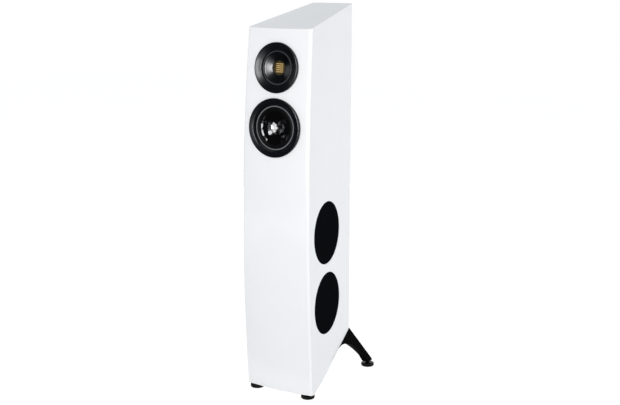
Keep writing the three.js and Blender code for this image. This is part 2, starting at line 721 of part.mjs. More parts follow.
function buildMidrange() {
  const place = addStation(onFront(midHeight));
  addPiece(place, 'midrange_trim_ring', turned([
    [midRollOuter + midBeadGap, midBeadSeat],
    [midRingInner, midBeadSeat],
    [midRingInner, midSeat],
    [midRingRadius, midSeat],
    [midRingRadius, midRingRise - midRingLip],
    [midRingRadius - midRingLip, midRingRise],
    [midRingRadius - 2 * midRingLip, midRingRise],
    [midRingInner + midGrooveWidth + midShoulderWidth, midShoulderRise],
    [midRingInner + midGrooveWidth, midBeadSeat + midGrooveWall],
    [midRingInner, midBeadSeat + midGrooveWall],
    [midRingInner, midBeadSeat + midBeadHeight],
    [midRollOuter + midBeadGap, midBeadSeat + midBeadHeight],
  ], showSides), 'blackSatin');
  buildDriver(place, 'midrange', showSides / 2, {
    face: midFlangeTop, flangeRadius: midFlangeRadius, flangeThickness: midFlangeThickness,
    rollOuter: midRollOuter, rollWidth: midRollWidth, rollHeight: midRollHeight,
    throat: midConeThroat, coneDepth: midConeDepth, capOverhang: midCapOverhang, capRise: midCapRise,
    coilLength: midCoilLength, travel: midTravel, motorRadius: midMotorRadius,
    spiderDepth: midSpiderDepth,
  });
}

// Woofers sit deep in the sides, each behind a flush round grille that rests on the recess's shoulder.
function wooferCut(frame) {
  return steppedCut([
    [wooferHoleRadius, -sideThickness - overrun],
    [wooferFlangeRadius + slack, -wooferRecess - wooferFlangeThickness - seam],
    [grilleHoleRadius, -grilleInset - grilleThickness - seam],
  ], grilleSides, frame);
}

function buildWoofers() {
  for (const [sideName, side] of sideNames) {
    for (const { level, height, depth } of wooferPlaces) {
      const place = addStation(onSide(side, depth, height));
      buildDriver(place, `woofer_${level}_${sideName}`, innerSides, {
        face: -wooferRecess, flangeRadius: wooferFlangeRadius, flangeThickness: wooferFlangeThickness,
        rollOuter: wooferRollOuter, rollWidth: wooferRollWidth, rollHeight: wooferRollHeight,
        throat: wooferConeThroat, coneDepth: wooferConeDepth, capOverhang: wooferCapOverhang,
        capRise: wooferCapRise, coilLength: wooferCoilLength, travel: wooferTravel,
        motorRadius: wooferMotorRadius, spiderDepth: wooferSpiderDepth,
      });
      const rim = grilleHoleRadius - slack;
      addPiece(place, `grille_${level}_${sideName}`, turned([
        [0, -grilleInset - grilleSkin],
        [rim - grilleRimWidth, -grilleInset - grilleSkin],
        [rim - grilleRimWidth, -grilleInset - grilleThickness],
        [rim, -grilleInset - grilleThickness],
        [rim, -grilleInset],
        [0, -grilleInset],
      ], grilleSides), 'mesh');
    }
  }
}

// The reflex port: a flared mouth flush with the back and a straight tube inside.
function portCut() {
  return steppedCut([
    [portRadius + portWall + slack, -backThickness - overrun],
    [portFlangeRadius + slack, -portFlangeThickness - seam],
  ], grilleSides, onBack(portHeight));
}

function buildPort() {
  const flare = Array.from({ length: flareSteps + 1 }, (_, i) => {
    const angle = (i / flareSteps) * (Math.PI / 2);
    return [portRadius + portFlare * (1 - Math.sin(angle)), -portFlare * (1 - Math.cos(angle))];
  });
  addPiece(addStation(onBack(portHeight)), 'reflex_port', turned([
    [portRadius, -portLength],
    [portRadius + portWall, -portLength],
    [portRadius + portWall, -portFlangeThickness],
    [portFlangeRadius, -portFlangeThickness],
    [portFlangeRadius, 0],
    ...flare,
  ], grilleSides), 'blackSatin');
}

// The terminals: a plate flush with the back, two threaded posts through it, and a screw cap on each.
function terminalCut() {
  const frame = onBack(terminalHeight);
  const recess = terminalThickness + seam;
  const pocket = block(terminalWidth + 2 * slack, terminalTall + 2 * slack, 2 * recess, frame);
  const opening = block(terminalWidth - 2 * terminalCutMargin, terminalTall - 2 * terminalCutMargin,
    2 * (backThickness + overrun), frame);
  return pocket.add(opening);
}

function buildTerminals() {
  const place = addStation(onBack(terminalHeight));
  const plate = block(terminalWidth, terminalTall, terminalThickness, moved(0, 0, -terminalThickness / 2));
  const holes = sideNames.map(([, side]) =>
    turned(rod(postStudRadius + slack, -overrun, overrun), smallSides, moved(side * postSpread, 0, 0)));
  addPiece(place, 'terminal_plate', plate.subtract(holes[0]).subtract(holes[1]), 'blackSatin');
  const capLow = seam + postCollarHeight + seam;
  for (const [sideName, side] of sideNames) {
    const axis = moved(-side * postSpread, 0, 0);
    addPiece(place, `binding_post_${sideName}`, turned([
      [0, -postTail],
      [postStudRadius, -postTail],
      [postStudRadius, seam],
      [postCollarRadius, seam],
      [postCollarRadius, seam + postCollarHeight],
      [postStudRadius, seam + postCollarHeight],
      [postStudRadius, postLength],
      [0, postLength],
    ], smallSides, axis), 'brass');
    const cap = tube(postStudRadius + slack, capRadius, capLow, capLow + capLength);
    addPiece(place, `post_cap_${sideName}`, turned(cap, smallSides, axis), 'brass');
  }
}

// The crossover: a board on four standoffs with two inductors and two capacitors.
function buildCrossover() {
  const place = addStation(onBack(boardHeight).multiply(moved(0, 0, -backThickness)));
  const boardLow = -seam - standoffLength - boardThickness;
  const innerFace = backAt(boardHeight) - backThickness;
  const boardWidth = 2 * (halfWidthAt(innerFace, boardHeight) - sideThickness - boardMargin);
  const bite = boardThickness / 2;
  const corner = [boardWidth / 2 - 2 * standoffRadius, boardTall / 2 - 2 * standoffRadius];
  let board = block(boardWidth, boardTall, boardThickness, moved(0, 0, boardLow + boardThickness / 2));
  for (const across of [-1, 1]) {
    for (const up of [-1, 1]) {
      const spot = moved(across * corner[0], up * corner[1], 0);
      board = board.add(turned(rod(standoffRadius, boardLow + bite, -seam), smallSides, spot));
    }
    const inductor = tube(inductorHole, inductorRadius, boardLow - inductorHeight, boardLow + bite);
    board = board.add(turned(inductor, innerSides, moved(0, across * 2 * inductorRadius, 0)));
    const lying = moved(across * (inductorRadius + capacitorRadius) / 2, 0, boardLow - capacitorRadius / 2)
      .multiply(new THREE.Matrix4().makeRotationX(Math.PI / 2));
    const capacitor = rod(capacitorRadius, -capacitorLength / 2, capacitorLength / 2);
    board = board.add(turned(capacitor, smallSides, lying));
  }
  addPiece(place, 'crossover_board', board, 'circuit');
}

// A foot: a disc, a collar that stops against what it carries, and a threaded stem into it.
function addFoot(name, axis, seatHeight) {
  addPiece(addStation(axis), name, turned([
    [0, 0],
    [footRadius - footEdge, 0],
    [footRadius, footEdge],
    [footRadius, footThickness - footEdge],
    [footRadius - footEdge, footThickness],
    [footCollarRadius, footThickness],
    [footCollarRadius, seatHeight - seam],
    [footStemRadius, seatHeight - seam],
    [footStemRadius, seatHeight + footStemLength],
    [0, seatHeight + footStemLength],
  ], innerSides), 'blackCast');
}

const frontFootAxis = (side) => moved(side * frontFootSpread, frontFootDepth, 0);
const stemCut = (axis, low) => turned(
  rod((footStemRadius + slack) / Math.cos(Math.PI / innerSides), low - overrun, low + footStemLength + seam),
  innerSides, axis);

// A rear leg: an arched fin flush under the cabinet's slope, its outer face running from the
// cabinet's side to the tip, with a block that takes the foot's stem.
function buildLegs() {
  const under = (y) => undersideAt(y, -seam);
  const onEdge = (y) => new THREE.Vector3(halfWidthAt(y, under(y)), y, under(y));
  const apex = onEdge(bottomDepth);
  const root = onEdge(legRootDepth);
  const tip = new THREE.Vector3(legTipSpread, legTipDepth, legTipHeight);
  const normal = apex.clone().sub(root).cross(tip.clone().sub(root));

  const arch = new THREE.QuadraticBezierCurve(
    new THREE.Vector2(root.y, root.z),
    new THREE.Vector2(legArchDepth, legArchHeight),
    new THREE.Vector2(legArchEndDepth, legArchEndHeight)).getPoints(archSteps);
  const finOutline = [
    ...arch.map(({ x, y }) => [x, y]),
    [rearFootDepth - legBlockReach, legBlockBottom],
    [tip.y, legBlockBottom],
    [tip.y, tip.z],
    [apex.y, apex.z],
  ];
  for (const [sideName, side] of sideNames) {
    // Leans the upright fin so that its outer face holds the root, the apex and the tip.
    const lean = new THREE.Matrix4().set(
      1, (-side * normal.y) / normal.x, (-side * normal.z) / normal.x, (side * apex.dot(normal)) / normal.x,
      0, 1, 0, 0,
      0, 0, 1, 0,
      0, 0, 0, 1);
    const inner = Math.min(0, -side * legWidth);
    const fin = sideExtrusion(finOutline, inner, inner + legWidth, lean);
    const axis = moved(side * rearFootSpread, rearFootDepth, 0);
    const leg = fin.subtract(stemCut(axis, legBlockBottom));
    addPiece(speaker, `rear_leg_${sideName}`, leg, 'blackCast');
    addFoot(`rear_foot_${sideName}`, axis, legBlockBottom);
    addFoot(`front_foot_${sideName}`, frontFootAxis(side), frontBottomHeight);
  }
}

buildCabinet();
buildTweeter();
buildMidrange();
buildWoofers();
buildPort();
buildTerminals();
buildCrossover();
buildLegs();

export default speaker;
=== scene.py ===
# Floorstanding loudspeaker: a slim white lacquered cabinet with a bowed front, a ribbon tweeter in a horn,
# a midrange with a facetted cone, four woofers behind round cloth grilles, feet and two rear outrigger legs.
# Metres. +Z is up, the front faces -Y, and the floor is z = 0.
import math
import random
from collections import Counter
from contextlib import contextmanager

import bpy
from mathutils import Matrix, Vector


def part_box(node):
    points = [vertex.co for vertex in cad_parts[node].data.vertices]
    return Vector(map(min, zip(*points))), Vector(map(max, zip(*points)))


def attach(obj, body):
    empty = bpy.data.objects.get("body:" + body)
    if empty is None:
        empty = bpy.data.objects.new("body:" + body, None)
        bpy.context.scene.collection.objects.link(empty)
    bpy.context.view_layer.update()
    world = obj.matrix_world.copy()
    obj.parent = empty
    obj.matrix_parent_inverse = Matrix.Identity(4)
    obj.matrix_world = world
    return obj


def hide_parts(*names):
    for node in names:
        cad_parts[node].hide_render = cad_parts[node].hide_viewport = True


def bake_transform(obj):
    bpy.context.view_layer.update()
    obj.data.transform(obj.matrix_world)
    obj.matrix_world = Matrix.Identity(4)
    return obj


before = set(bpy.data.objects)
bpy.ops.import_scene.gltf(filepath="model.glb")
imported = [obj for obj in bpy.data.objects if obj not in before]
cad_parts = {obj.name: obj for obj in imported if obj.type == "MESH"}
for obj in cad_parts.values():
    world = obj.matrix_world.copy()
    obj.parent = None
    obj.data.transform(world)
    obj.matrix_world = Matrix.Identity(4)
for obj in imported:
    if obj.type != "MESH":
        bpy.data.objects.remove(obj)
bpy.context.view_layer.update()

scene = bpy.context.scene
scene.view_settings.view_transform = "Standard"


# The viewpoint: from the front and the right, a little above the cabinet, through a longish lens.
# The camera stands level from side to side and looks slightly down.
CAMERA_PLACE = (1.702508, -2.829253, 1.275428)
CAMERA_DOWN = 0.2114767
CAMERA_TURN = 0.5404771
CAMERA_LENS = 63.469
CAMERA_SENSOR = 36

bpy.ops.object.select_all(action="DESELECT")
bpy.ops.object.camera_add(
    location=CAMERA_PLACE, rotation=(math.pi / 2 - CAMERA_DOWN, 0, CAMERA_TURN))
camera = bpy.context.object
camera.data.lens = CAMERA_LENS
camera.data.sensor_width = CAMERA_SENSOR
scene.camera = camera


# The studio: a pale floor under even light, a tall strip light in front, whose reflection shows on the left
# flanks of the rings and the horn, a wide softbox on the right, and a low one behind that gloss won't show.
# Black cards, which only gloss shows, stand beside and over the strip light's path and lie on the floor.
FLOOR_SIZE = 16
FLOOR_WHITE = 0.8
FLOOR_GLOW = 0.9
FLOOR_SHADE = 0.22
SKY_LIGHT = (0.435, 0.48, 0.52)
WARM_WHITE = (1, 0.955, 0.92)
SOFTBOXES = {
    "strip_light": ((0.69, -4.3, 1.66), (0.75, 2.9), 111),
    "side_softbox": ((2.3, 0.5, 0.9), (1.6, 1.7), 24.5),
    "back_softbox": ((-2, 2.4, 0.55), (1.8, 1.05), 42),
}
BLACK_CARDS = {
    "left_card": ((-0.52, -0.84, 1.5), (0.97, 2.2)),
    "far_left_card": ((-1.06, -0.1, 1.5), (0.72, 2.2)),
    "low_left_card": ((-0.92, -0.5, 0.55), (0.3, 0.76)),
    "high_left_card": ((-0.92, -0.5, 1.62), (0.3, 0.6)),
    "upper_card": ((0.1, -1.1, 2), (0.6, 1.2)),
    "floor_card": ((-0.1, -1.2, 0.002), (2.4, 1.8)),
    "right_card": ((0.76, -0.95, 1.2), (1, 2.4)),
}


def feed(tree, value, socket):
    """Gives an input a plain value, an output, or the first output of a node."""
    if isinstance(value, bpy.types.Node):
        value = value.outputs[0]
    if isinstance(value, bpy.types.NodeSocket):
        tree.links.new(value, socket)
    else:
        socket.default_value = value


def add_node(tree, kind, *values, settings=(), **named_values):
    """A shader node with its settings, and its inputs fed in their order or by name, _ for a space."""
    node = tree.nodes.new("ShaderNode" + kind)
    for name, value in settings:
        setattr(node, name, value)
    for socket, value in zip(node.inputs, values):
        feed(tree, value, socket)
    for name, value in named_values.items():
        feed(tree, value, node.inputs[name.replace("_", " ")])
    return node


def calculate(tree, operation, *values):
    """The output of a Math node that is fed by outputs or numbers."""
    return add_node(tree, "Math", *values, settings=[("operation", operation)]).outputs["Value"]


def background_rays(tree):
    """1 for the rays that show what lies behind the object, directly, in gloss or through glass."""
    path = add_node(tree, "LightPath")
    seen = path.outputs["Is Camera Ray"]
    for ray in ("Is Glossy Ray", "Is Transmission Ray"):
        seen = calculate(tree, "MAXIMUM", seen, path.outputs[ray])
    return seen


def light_sky():
    """An even world: its own grey as light, and white where it is seen."""
    world = bpy.data.worlds.new("studio")
    world.use_nodes = True
    tree = world.node_tree
    colour = add_node(tree, "Mix", settings=[("data_type", "RGBA")], Factor=background_rays(tree),
                      A=(*SKY_LIGHT, 1), B=(1, 1, 1, 1))
    feed(tree, colour.outputs["Result"], tree.nodes["Background"].inputs["Color"])
    scene.world = world


def start_piece(name, primitive, **settings):
    """Adds a primitive, the only thing selected, as the start of a piece."""
    bpy.ops.object.select_all(action="DESELECT")
    primitive(**settings)
    piece = bpy.context.object
    piece.name = name
    return piece


def lay_floor():
    """A white floor that keeps a soft shadow: mostly glow and a little plain white where it is seen."""
    floor = start_piece("floor", bpy.ops.mesh.primitive_plane_add, size=FLOOR_SIZE)
    material = bpy.data.materials.new("studio_floor")
    material.use_nodes = True
    tree = material.node_tree
    tree.nodes.clear()
    plain, shade = [
        add_node(tree, "BsdfDiffuse", (grey, grey, grey, 1)) for grey in (FLOOR_WHITE, FLOOR_SHADE)]
    seen = add_node(tree, "AddShader", add_node(tree, "Emission", Strength=FLOOR_GLOW), shade)
    both = add_node(tree, "MixShader", background_rays(tree), plain, seen)
    add_node(tree, "OutputMaterial", both)
    floor.data.materials.append(material)


def principled(name, colour, roughness, **sockets):
    """A Principled material whose sockets hold plain values."""
    material = bpy.data.materials.new(name)
    material.use_nodes = True
    shader = material.node_tree.nodes["Principled BSDF"]
    for socket, value in {"Base_Color": (*colour, 1), "Roughness": roughness, **sockets}.items():
        shader.inputs[socket.replace("_", " ")].default_value = value
    return material


def facing(place, axis):
    """The rotation that turns an upright thing's axis from its place towards the speaker."""
    return Vector((-place[0], -place[1], 0)).to_track_quat(axis, "Y").to_euler()


light_sky()
lay_floor()
card_black = principled("card_black", (0, 0, 0), 0.5, Specular_IOR_Level=0)
for name, (place, size) in BLACK_CARDS.items():
    turn = (0, 0, 0) if name == "floor_card" else facing(place, "Z")
    card = start_piece(name, bpy.ops.mesh.primitive_plane_add, size=1, location=place, rotation=turn)
    card.scale = (*size, 1)
    bpy.ops.object.transform_apply(location=True, rotation=True, scale=True)
    card.data.materials.append(card_black)
    card.visible_camera = False
    card.visible_diffuse = False
    card.visible_shadow = False
for name, (place, size, watts) in SOFTBOXES.items():
    bpy.ops.object.light_add(type="AREA", location=place, rotation=facing(place, "-Z"))
    lamp = bpy.context.object
    lamp.name = name
    lamp.data.shape = "RECTANGLE"
    lamp.data.size, lamp.data.size_y = size
    lamp.data.energy = watts
    lamp.data.color = WARM_WHITE
    lamp.visible_camera = False
    lamp.visible_glossy = name != "back_softbox"


# The cabinet: fibreboard panels glued into one body, filled, sanded and sprayed with a thick white gloss
# lacquer, so that no joint shows. The front bows from side to side and from top to bottom, the sides close
# in towards the back, and the top and the rear of the bottom slope.
BOTTOM_WIDTH = 0.2375
TOP_WIDTH = 0.224
REAR_WIDTH = 0.1592
BOTTOM_DEPTH = 0.3169
TOP_DEPTH = 0.3375
FRONT_BOTTOM = 0.0143
FRONT_TOP = 1.1078
REAR_BOTTOM = 0.1394
REAR_TOP = 1.17
BOTTOM_FLAT = 0.0374
WAIST = 0.4966
TOP_SETBACK = 0.0332
FRONT_BULGE = 0.0091
FRONT_EDGE_RADIUS = 0.008
REAR_EDGE_RADIUS = 0.006
RIM_RADIUS = 0.0013
RIM_ANGLE = 50
BAFFLE_WALL = 0.03
SIDE_WALL = 0.028
BACK_WALL = 0.025
TOP_WALL = 0.022
BOTTOM_WALL = 0.025
CORNER_STEPS = 8
BOW_STEPS = 30
SIDE_SHARES = (0.01, 0.25, 0.5, 0.75, 0.99)
LEVELS = 46
CAVITY_LEVELS = 11
CORNER_PASSES = 4
LEVEL_PASSES = 4
SLACK = 0.0003
SEAM = 0.0003
REACH = 0.06
CUT_TOLERANCE = 0.000005
PROFILE_TOLERANCE = 0.000001
DIGITS = 5
ROUND_STEPS = 96
SLOW_GRAIN_SHARE = 0.03

front_edge_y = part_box("front_baffle")[0].y + FRONT_BULGE


def sagitta(x, radius):
    return radius - math.sqrt(radius * radius - x * x)


def arc_radius(chord, rise):
    return (chord * chord + rise * rise) / (2 * rise)


def mix(a, b, share):
    return a + (b - a) * share


side_radius = arc_radius(FRONT_TOP - WAIST, TOP_SETBACK)
side_slope = (BOTTOM_WIDTH - REAR_WIDTH) / 2 / BOTTOM_DEPTH
width_slope = (BOTTOM_WIDTH - TOP_WIDTH) / 2 / (FRONT_TOP - FRONT_BOTTOM)
back_slope = (TOP_DEPTH - BOTTOM_DEPTH) / (REAR_TOP - REAR_BOTTOM)
top_slope = (REAR_TOP - FRONT_TOP) / (TOP_DEPTH - TOP_SETBACK)


def setback_at(z):
    return sagitta(z - WAIST, side_radius)


def half_width_at(depth, z):
    return BOTTOM_WIDTH / 2 - width_slope * (z - FRONT_BOTTOM) - side_slope * depth


def back_at(z):
    return BOTTOM_DEPTH + back_slope * (z - REAR_BOTTOM)


def edge_half_width(z):
    return half_width_at(setback_at(z), z)


plan_radius = arc_radius(edge_half_width(WAIST), FRONT_BULGE)
flat_end = setback_at(FRONT_BOTTOM) + BOTTOM_FLAT
underside_slope = (REAR_BOTTOM - FRONT_BOTTOM) / (BOTTOM_DEPTH - flat_end)


def front_at(x, z):
    return setback_at(z) - sagitta(edge_half_width(z), plan_radius) + sagitta(x, plan_radius)


def underside_at(depth, inset=0):
    slope = FRONT_BOTTOM + underside_slope * (depth - flat_end) + inset * math.hypot(1, underside_slope)
    return max(FRONT_BOTTOM + inset, slope)


def top_at(depth, inset=0):
    return FRONT_TOP + top_slope * (depth - TOP_SETBACK) - inset * math.hypot(1, top_slope)


def rounded(corner, before, after, radius):
    """Replaces a corner of the plan by an arc that touches both of its sides."""
    back = (before - corner).normalized()
    on = (after - corner).normalized()
    half = back.angle(on) / 2
    centre = corner + (back + on).normalized() * (radius / math.sin(half))
    start = corner + back * (radius / math.tan(half)) - centre
    turn = math.pi - 2 * half
    steps = range(CORNER_STEPS + 1)
    return [centre + Matrix.Rotation(turn * i / CORNER_STEPS, 2) @ start for i in steps]


def plan(z, front=0, side=0, back=0, front_radius=FRONT_EDGE_RADIUS, rear_radius=REAR_EDGE_RADIUS):
    """The plan at a height, drawn in by its walls: bow, right side, back and left side, all in turn."""
    rear_depth = back_at(z) - back
    rear_half = half_width_at(rear_depth, z) - side
    front_half = edge_half_width(z) - side
    for _ in range(CORNER_PASSES):
        front_half = half_width_at(front_at(front_half, z) + front, z) - side

    def face(x):
        return Vector((x, front_at(x, z) + front))

    reach = front_half - front_radius
    bow = [face(mix(-reach, reach, i / BOW_STEPS)) for i in range(1, BOW_STEPS)]
    right, left = face(front_half), face(-front_half)
    rear_right, rear_left = Vector((rear_half, rear_depth)), Vector((-rear_half, rear_depth))
    left_arc = rounded(left, rear_left, bow[0], front_radius)
    right_arc = rounded(right, bow[-1], rear_right, front_radius)
    rear_right_arc = rounded(rear_right, right, rear_left, rear_radius)
    rear_left_arc = rounded(rear_left, rear_right, left, rear_radius)

    def run(a, b, shares=SIDE_SHARES):
        return [a.lerp(b, share) for share in shares]

    return [
        *left_arc, *bow, *right_arc, *run(right_arc[-1], rear_right_arc[0]),
        *rear_right_arc, *run(rear_right_arc[-1], rear_left_arc[0]),
        *rear_left_arc, *run(rear_left_arc[-1], left_arc[0], reversed([1 - s for s in SIDE_SHARES])),
    ]


def pick(piece):
    bpy.ops.object.select_all(action="DESELECT")
    piece.select_set(True)
    bpy.context.view_layer.objects.active = piece


@contextmanager
def editing(piece, select="SELECT", kind="VERT"):
    """Opens a piece in edit mode, with all of it, nothing, or what is already chosen selected."""
    pick(piece)
    bpy.context.tool_settings.mesh_select_mode = [kind == each for each in ("VERT", "EDGE", "FACE")]
    bpy.ops.object.mode_set(mode="EDIT")
    if select:
        bpy.ops.mesh.select_all(action=select)
    yield
    bpy.ops.object.mode_set(mode="OBJECT")


def place_around(vertex, count):
    """Which of the count points around a circle a point is."""
    return round(math.atan2(vertex.co.y, vertex.co.x) / (2 * math.pi) * count) % count


def loft(name, levels, walls, low_inset, top_inset):
    """Draws the plan as a ring, pulls it up level by level, and moves each point onto the surfaces."""
    count = len(plan(WAIST, **walls))
    body = start_piece(name, bpy.ops.mesh.primitive_circle_add, vertices=count, radius=1, fill_type="NGON")
    with editing(body):
        for _ in range(levels):
            bpy.ops.mesh.extrude_region_move(TRANSFORM_OT_translate={"value": (0, 0, 1)})
    plans = {}

    def plan_at(z):
        key = round(z, DIGITS)
        if key not in plans:
            plans[key] = plan(z, **walls)
        return plans[key]

    for vertex in body.data.vertices:
        share = round(vertex.co.z) / levels
        place = place_around(vertex, count)
        z = mix(FRONT_BOTTOM, REAR_TOP, share)
        for _ in range(LEVEL_PASSES):
            x, depth = plan_at(z)[place]
            z = mix(underside_at(depth, low_inset), top_at(depth, top_inset), share)
        vertex.co = (x, depth + front_edge_y, z)
    with editing(body):
        bpy.ops.mesh.normals_make_consistent(inside=False)
    return body


def place_on(x, depth, z, normal):
    """A place on the cabinet's skin, its local Z along the outward normal and its local Y up."""
    out = Vector(normal).normalized()
    up = (Vector((0, 0, 1)) - out * out.z).normalized()
    place = Matrix((up.cross(out), up, out)).transposed().to_4x4()
    place.translation = (x, depth + front_edge_y, z)
    return place


def on_front(z):
    slope = (z - WAIST) / (side_radius - setback_at(z))
    return place_on(0, front_at(0, z), z, (0, -1, slope))


def on_side(side, depth, z):
    return place_on(side * half_width_at(depth, z), depth, z, (side, side_slope, width_slope))


def on_back(z):
    return place_on(0, back_at(z), z, (0, 1, -back_slope))


def turned(name, profile, place, steps=ROUND_STEPS):
    """Draws a profile of (radius, height) points, spins it about the axis and sets it in its place. One that
    starts off the axis is closed. The attribute flat keeps where each point was before it was set in."""
    piece = start_piece(name, bpy.ops.mesh.primitive_plane_add, size=REACH)
    if profile[0][0] > 0:
        profile = [*profile, profile[0]]
    with editing(piece):
        bpy.ops.mesh.merge(type="CENTER")
        bpy.ops.transform.translate(value=(profile[0][0], 0, profile[0][1]))
        for (radius, height), (next_radius, next_height) in zip(profile, profile[1:]):
            step = (next_radius - radius, 0, next_height - height)
            bpy.ops.mesh.extrude_vertices_move(TRANSFORM_OT_translate={"value": step})
        bpy.ops.mesh.select_all(action="SELECT")
        bpy.ops.mesh.remove_doubles(threshold=PROFILE_TOLERANCE)
        bpy.ops.mesh.spin(steps=steps, angle=2 * math.pi, center=(0, 0, 0), axis=(0, 0, 1))
        bpy.ops.mesh.select_all(action="SELECT")
        bpy.ops.mesh.remove_doubles(threshold=2 * PROFILE_TOLERANCE)
        bpy.ops.mesh.normals_make_consistent(inside=False)
    if place:
        settle(piece, place)
    return piece


def settle(piece, place):
    """Keeps each point's own place in the attribute flat, then sets the piece in with its origin at zero."""
    flat = piece.data.attributes.get("flat") or piece.data.attributes.new("flat", "FLOAT_VECTOR", "POINT")
    flat.data.foreach_set("vector", [value for vertex in piece.data.vertices for value in vertex.co])
    pick(piece)
    piece.matrix_world = place
    bpy.ops.object.transform_apply(location=True, rotation=True, scale=True)


def apply(piece, kind, **settings):
    """Adds a modifier with its settings and applies it."""
    pick(piece)
    modifier = piece.modifiers.new(kind.lower(), kind)
    for name, value in settings.items():
        setattr(modifier, name, value)
    bpy.ops.object.modifier_apply(modifier=modifier.name)


def cut_out(piece, *tools):
    """Cuts the tools out of a piece in turn and throws them away."""
    for tool in tools:
        apply(piece, "BOOLEAN", operation="DIFFERENCE", solver="MANIFOLD", object=tool)
        bpy.data.objects.remove(tool)


def cylinder_profile(radius, low, top):
    return [(0, low), (radius, low), (radius, top), (0, top)]


def arc(centre, radius, start, end, steps=6):
    """Points on an arc of a profile, from one angle to another in degrees, anticlockwise if it grows."""
    angles = [math.radians(mix(start, end, i / steps)) for i in range(steps + 1)]
    return [(centre[0] + radius * math.cos(a), centre[1] + radius * math.sin(a)) for a in angles]


def new_group(name, outputs, **values):
    """An empty shader node group: a Vector and named numbers go in, and named numbers come out."""
    group = bpy.data.node_groups.new(name, "ShaderNodeTree")
    group.interface.new_socket("Vector", in_out="INPUT", socket_type="NodeSocketVector")
    for socket, value in values.items():
        entry = group.interface.new_socket(socket, in_out="INPUT", socket_type="NodeSocketFloat")
        entry.default_value = value
    for socket in outputs:
        group.interface.new_socket(socket, in_out="OUTPUT", socket_type="NodeSocketFloat")
    return group, group.nodes.new("NodeGroupInput").outputs, group.nodes.new("NodeGroupOutput").inputs


def make_grain():
    """Uneven surface: fine noise over slow noise. Spread sets how far Value strays from Middle."""
    group, given, result = new_group("surface_grain", ["Value", "Height"], Scale=400, Middle=0.4, Spread=0.1)
    fine = add_node(group, "TexNoise", Vector=given["Vector"], Scale=given["Scale"], Detail=3)
    slow_scale = calculate(group, "MULTIPLY", given["Scale"], SLOW_GRAIN_SHARE)
    slow = add_node(group, "TexNoise", Vector=given["Vector"], Scale=slow_scale, Detail=2)
    both = calculate(group, "ADD", fine, slow)
    stray = calculate(group, "MULTIPLY", calculate(group, "SUBTRACT", both, 1), given["Spread"])
    feed(group, calculate(group, "ADD", stray, given["Middle"]), result["Value"])
    feed(group, fine, result["Height"])
    return group


def place_group(material, group, vector, **values):
    """Puts a node group into a material, fed by a vector and its own values, and gives its outputs."""
    settings = [("node_tree", group)]
    return add_node(material.node_tree, "Group", settings=settings, Vector=vector, **values).outputs


def object_places(material):
    return add_node(material.node_tree, "TexCoord").outputs["Object"]


def tie(material, output, socket):
    feed(material.node_tree, output, material.node_tree.nodes["Principled BSDF"].inputs[socket])


def bump(material, height, distance, strength=1):
    """Raises the surface by a height, whose full step is the distance in metres."""
    raised = add_node(material.node_tree, "Bump", Height=height, Distance=distance, Strength=strength)
    tie(material, raised, "Normal")


def shades(material, value, dark, light):
    """Turns a value from 0 to 1 into the base colour."""
    ramp = add_node(material.node_tree, "ValToRGB", value)
    for element, colour in zip(ramp.color_ramp.elements, (dark, light)):
        element.color = (*colour, 1)
    tie(material, ramp, "Base Color")


def mottle(material, places, scale, dark, light):
    """Lets the base colour vary between two shades."""
    tone = place_group(material, surface_grain, places, Scale=scale, Middle=0.5, Spread=1)
    shades(material, tone["Value"], dark, light)


def roughen(material, places, scale, middle, spread):
    """Lets the roughness vary about its middle, and gives the height of the grain that it follows."""
    texture = place_group(material, surface_grain, places, Scale=scale, Middle=middle, Spread=spread)
    tie(material, texture["Value"], "Roughness")
    return texture["Height"]


surface_grain = make_grain()


def grained(name, dark, light, roughness, spread, scale, depth, **sockets):
    """A finish that varies a little in colour, roughness and surface, as sprayed or cast ones do."""
    material = principled(name, light, roughness, **sockets)
    places = object_places(material)
    mottle(material, places, scale, dark, light)
    bump(material, roughen(material, places, scale, roughness, spread), depth)
    return material


def dress(piece, material, slot=None, smooth_below=32):
    """Smooths edges below an angle in degrees, and gives a piece its material.
    The slot is not used."""
    if smooth_below:
        pick(piece)
        bpy.ops.object.shade_smooth_by_angle(angle=math.radians(smooth_below))
    piece.data.materials.clear()
    piece.data.materials.append(material)


def finish(piece, material, body, *nodes, **looks):
    """Dresses a piece and sets it on a body in place of the nodes."""
    dress(piece, material, **looks)
    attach(piece, body)
    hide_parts(*nodes)


white_lacquer = grained(
    "white_lacquer", (0.845, 0.85, 0.86), (0.87, 0.875, 0.885), 0.3, 0.06, 260, 0.00002,
    Coat_Weight=0.35, Coat_Roughness=0.06, Specular_IOR_Level=0.3)

# Places of what is set into the cabinet.
TWEETER_HEIGHT = 0.995
MIDRANGE_HEIGHT = 0.8223
WOOFER_PLACES = {"upper": (0.1369, 0.4947), "lower": (0.1381, 0.274)}
PORT_HEIGHT = 0.655
TERMINAL_HEIGHT = 0.262
SIDES = {"left": -1, "right": 1}
TWEETER_CUT = ((0.052, -0.05), (0.0623, -0.0077), (0.0732, -0.0053))
MIDRANGE_CUT = ((0.069, -0.05), (0.0803, -0.011), (0.0863, -0.0067))
WOOFER_CUT = ((0.081, -0.05), (0.0913, -0.0203), (0.0958, -0.0067))
PORT_CUT = ((0.0383, -0.05), (0.0563, -0.0043))
GRILLE_EDGE_ROUND = 0.0008
FOOT_STEM_RADIUS = 0.004
FOOT_STEM_LENGTH = 0.011
STEM_STEPS = 32
TERMINAL_SIZE = (0.096, 0.078, 0.004)
TERMINAL_MARGIN = 0.012
FRONT_FOOT_AXIS = (0.0917, 0.0363)


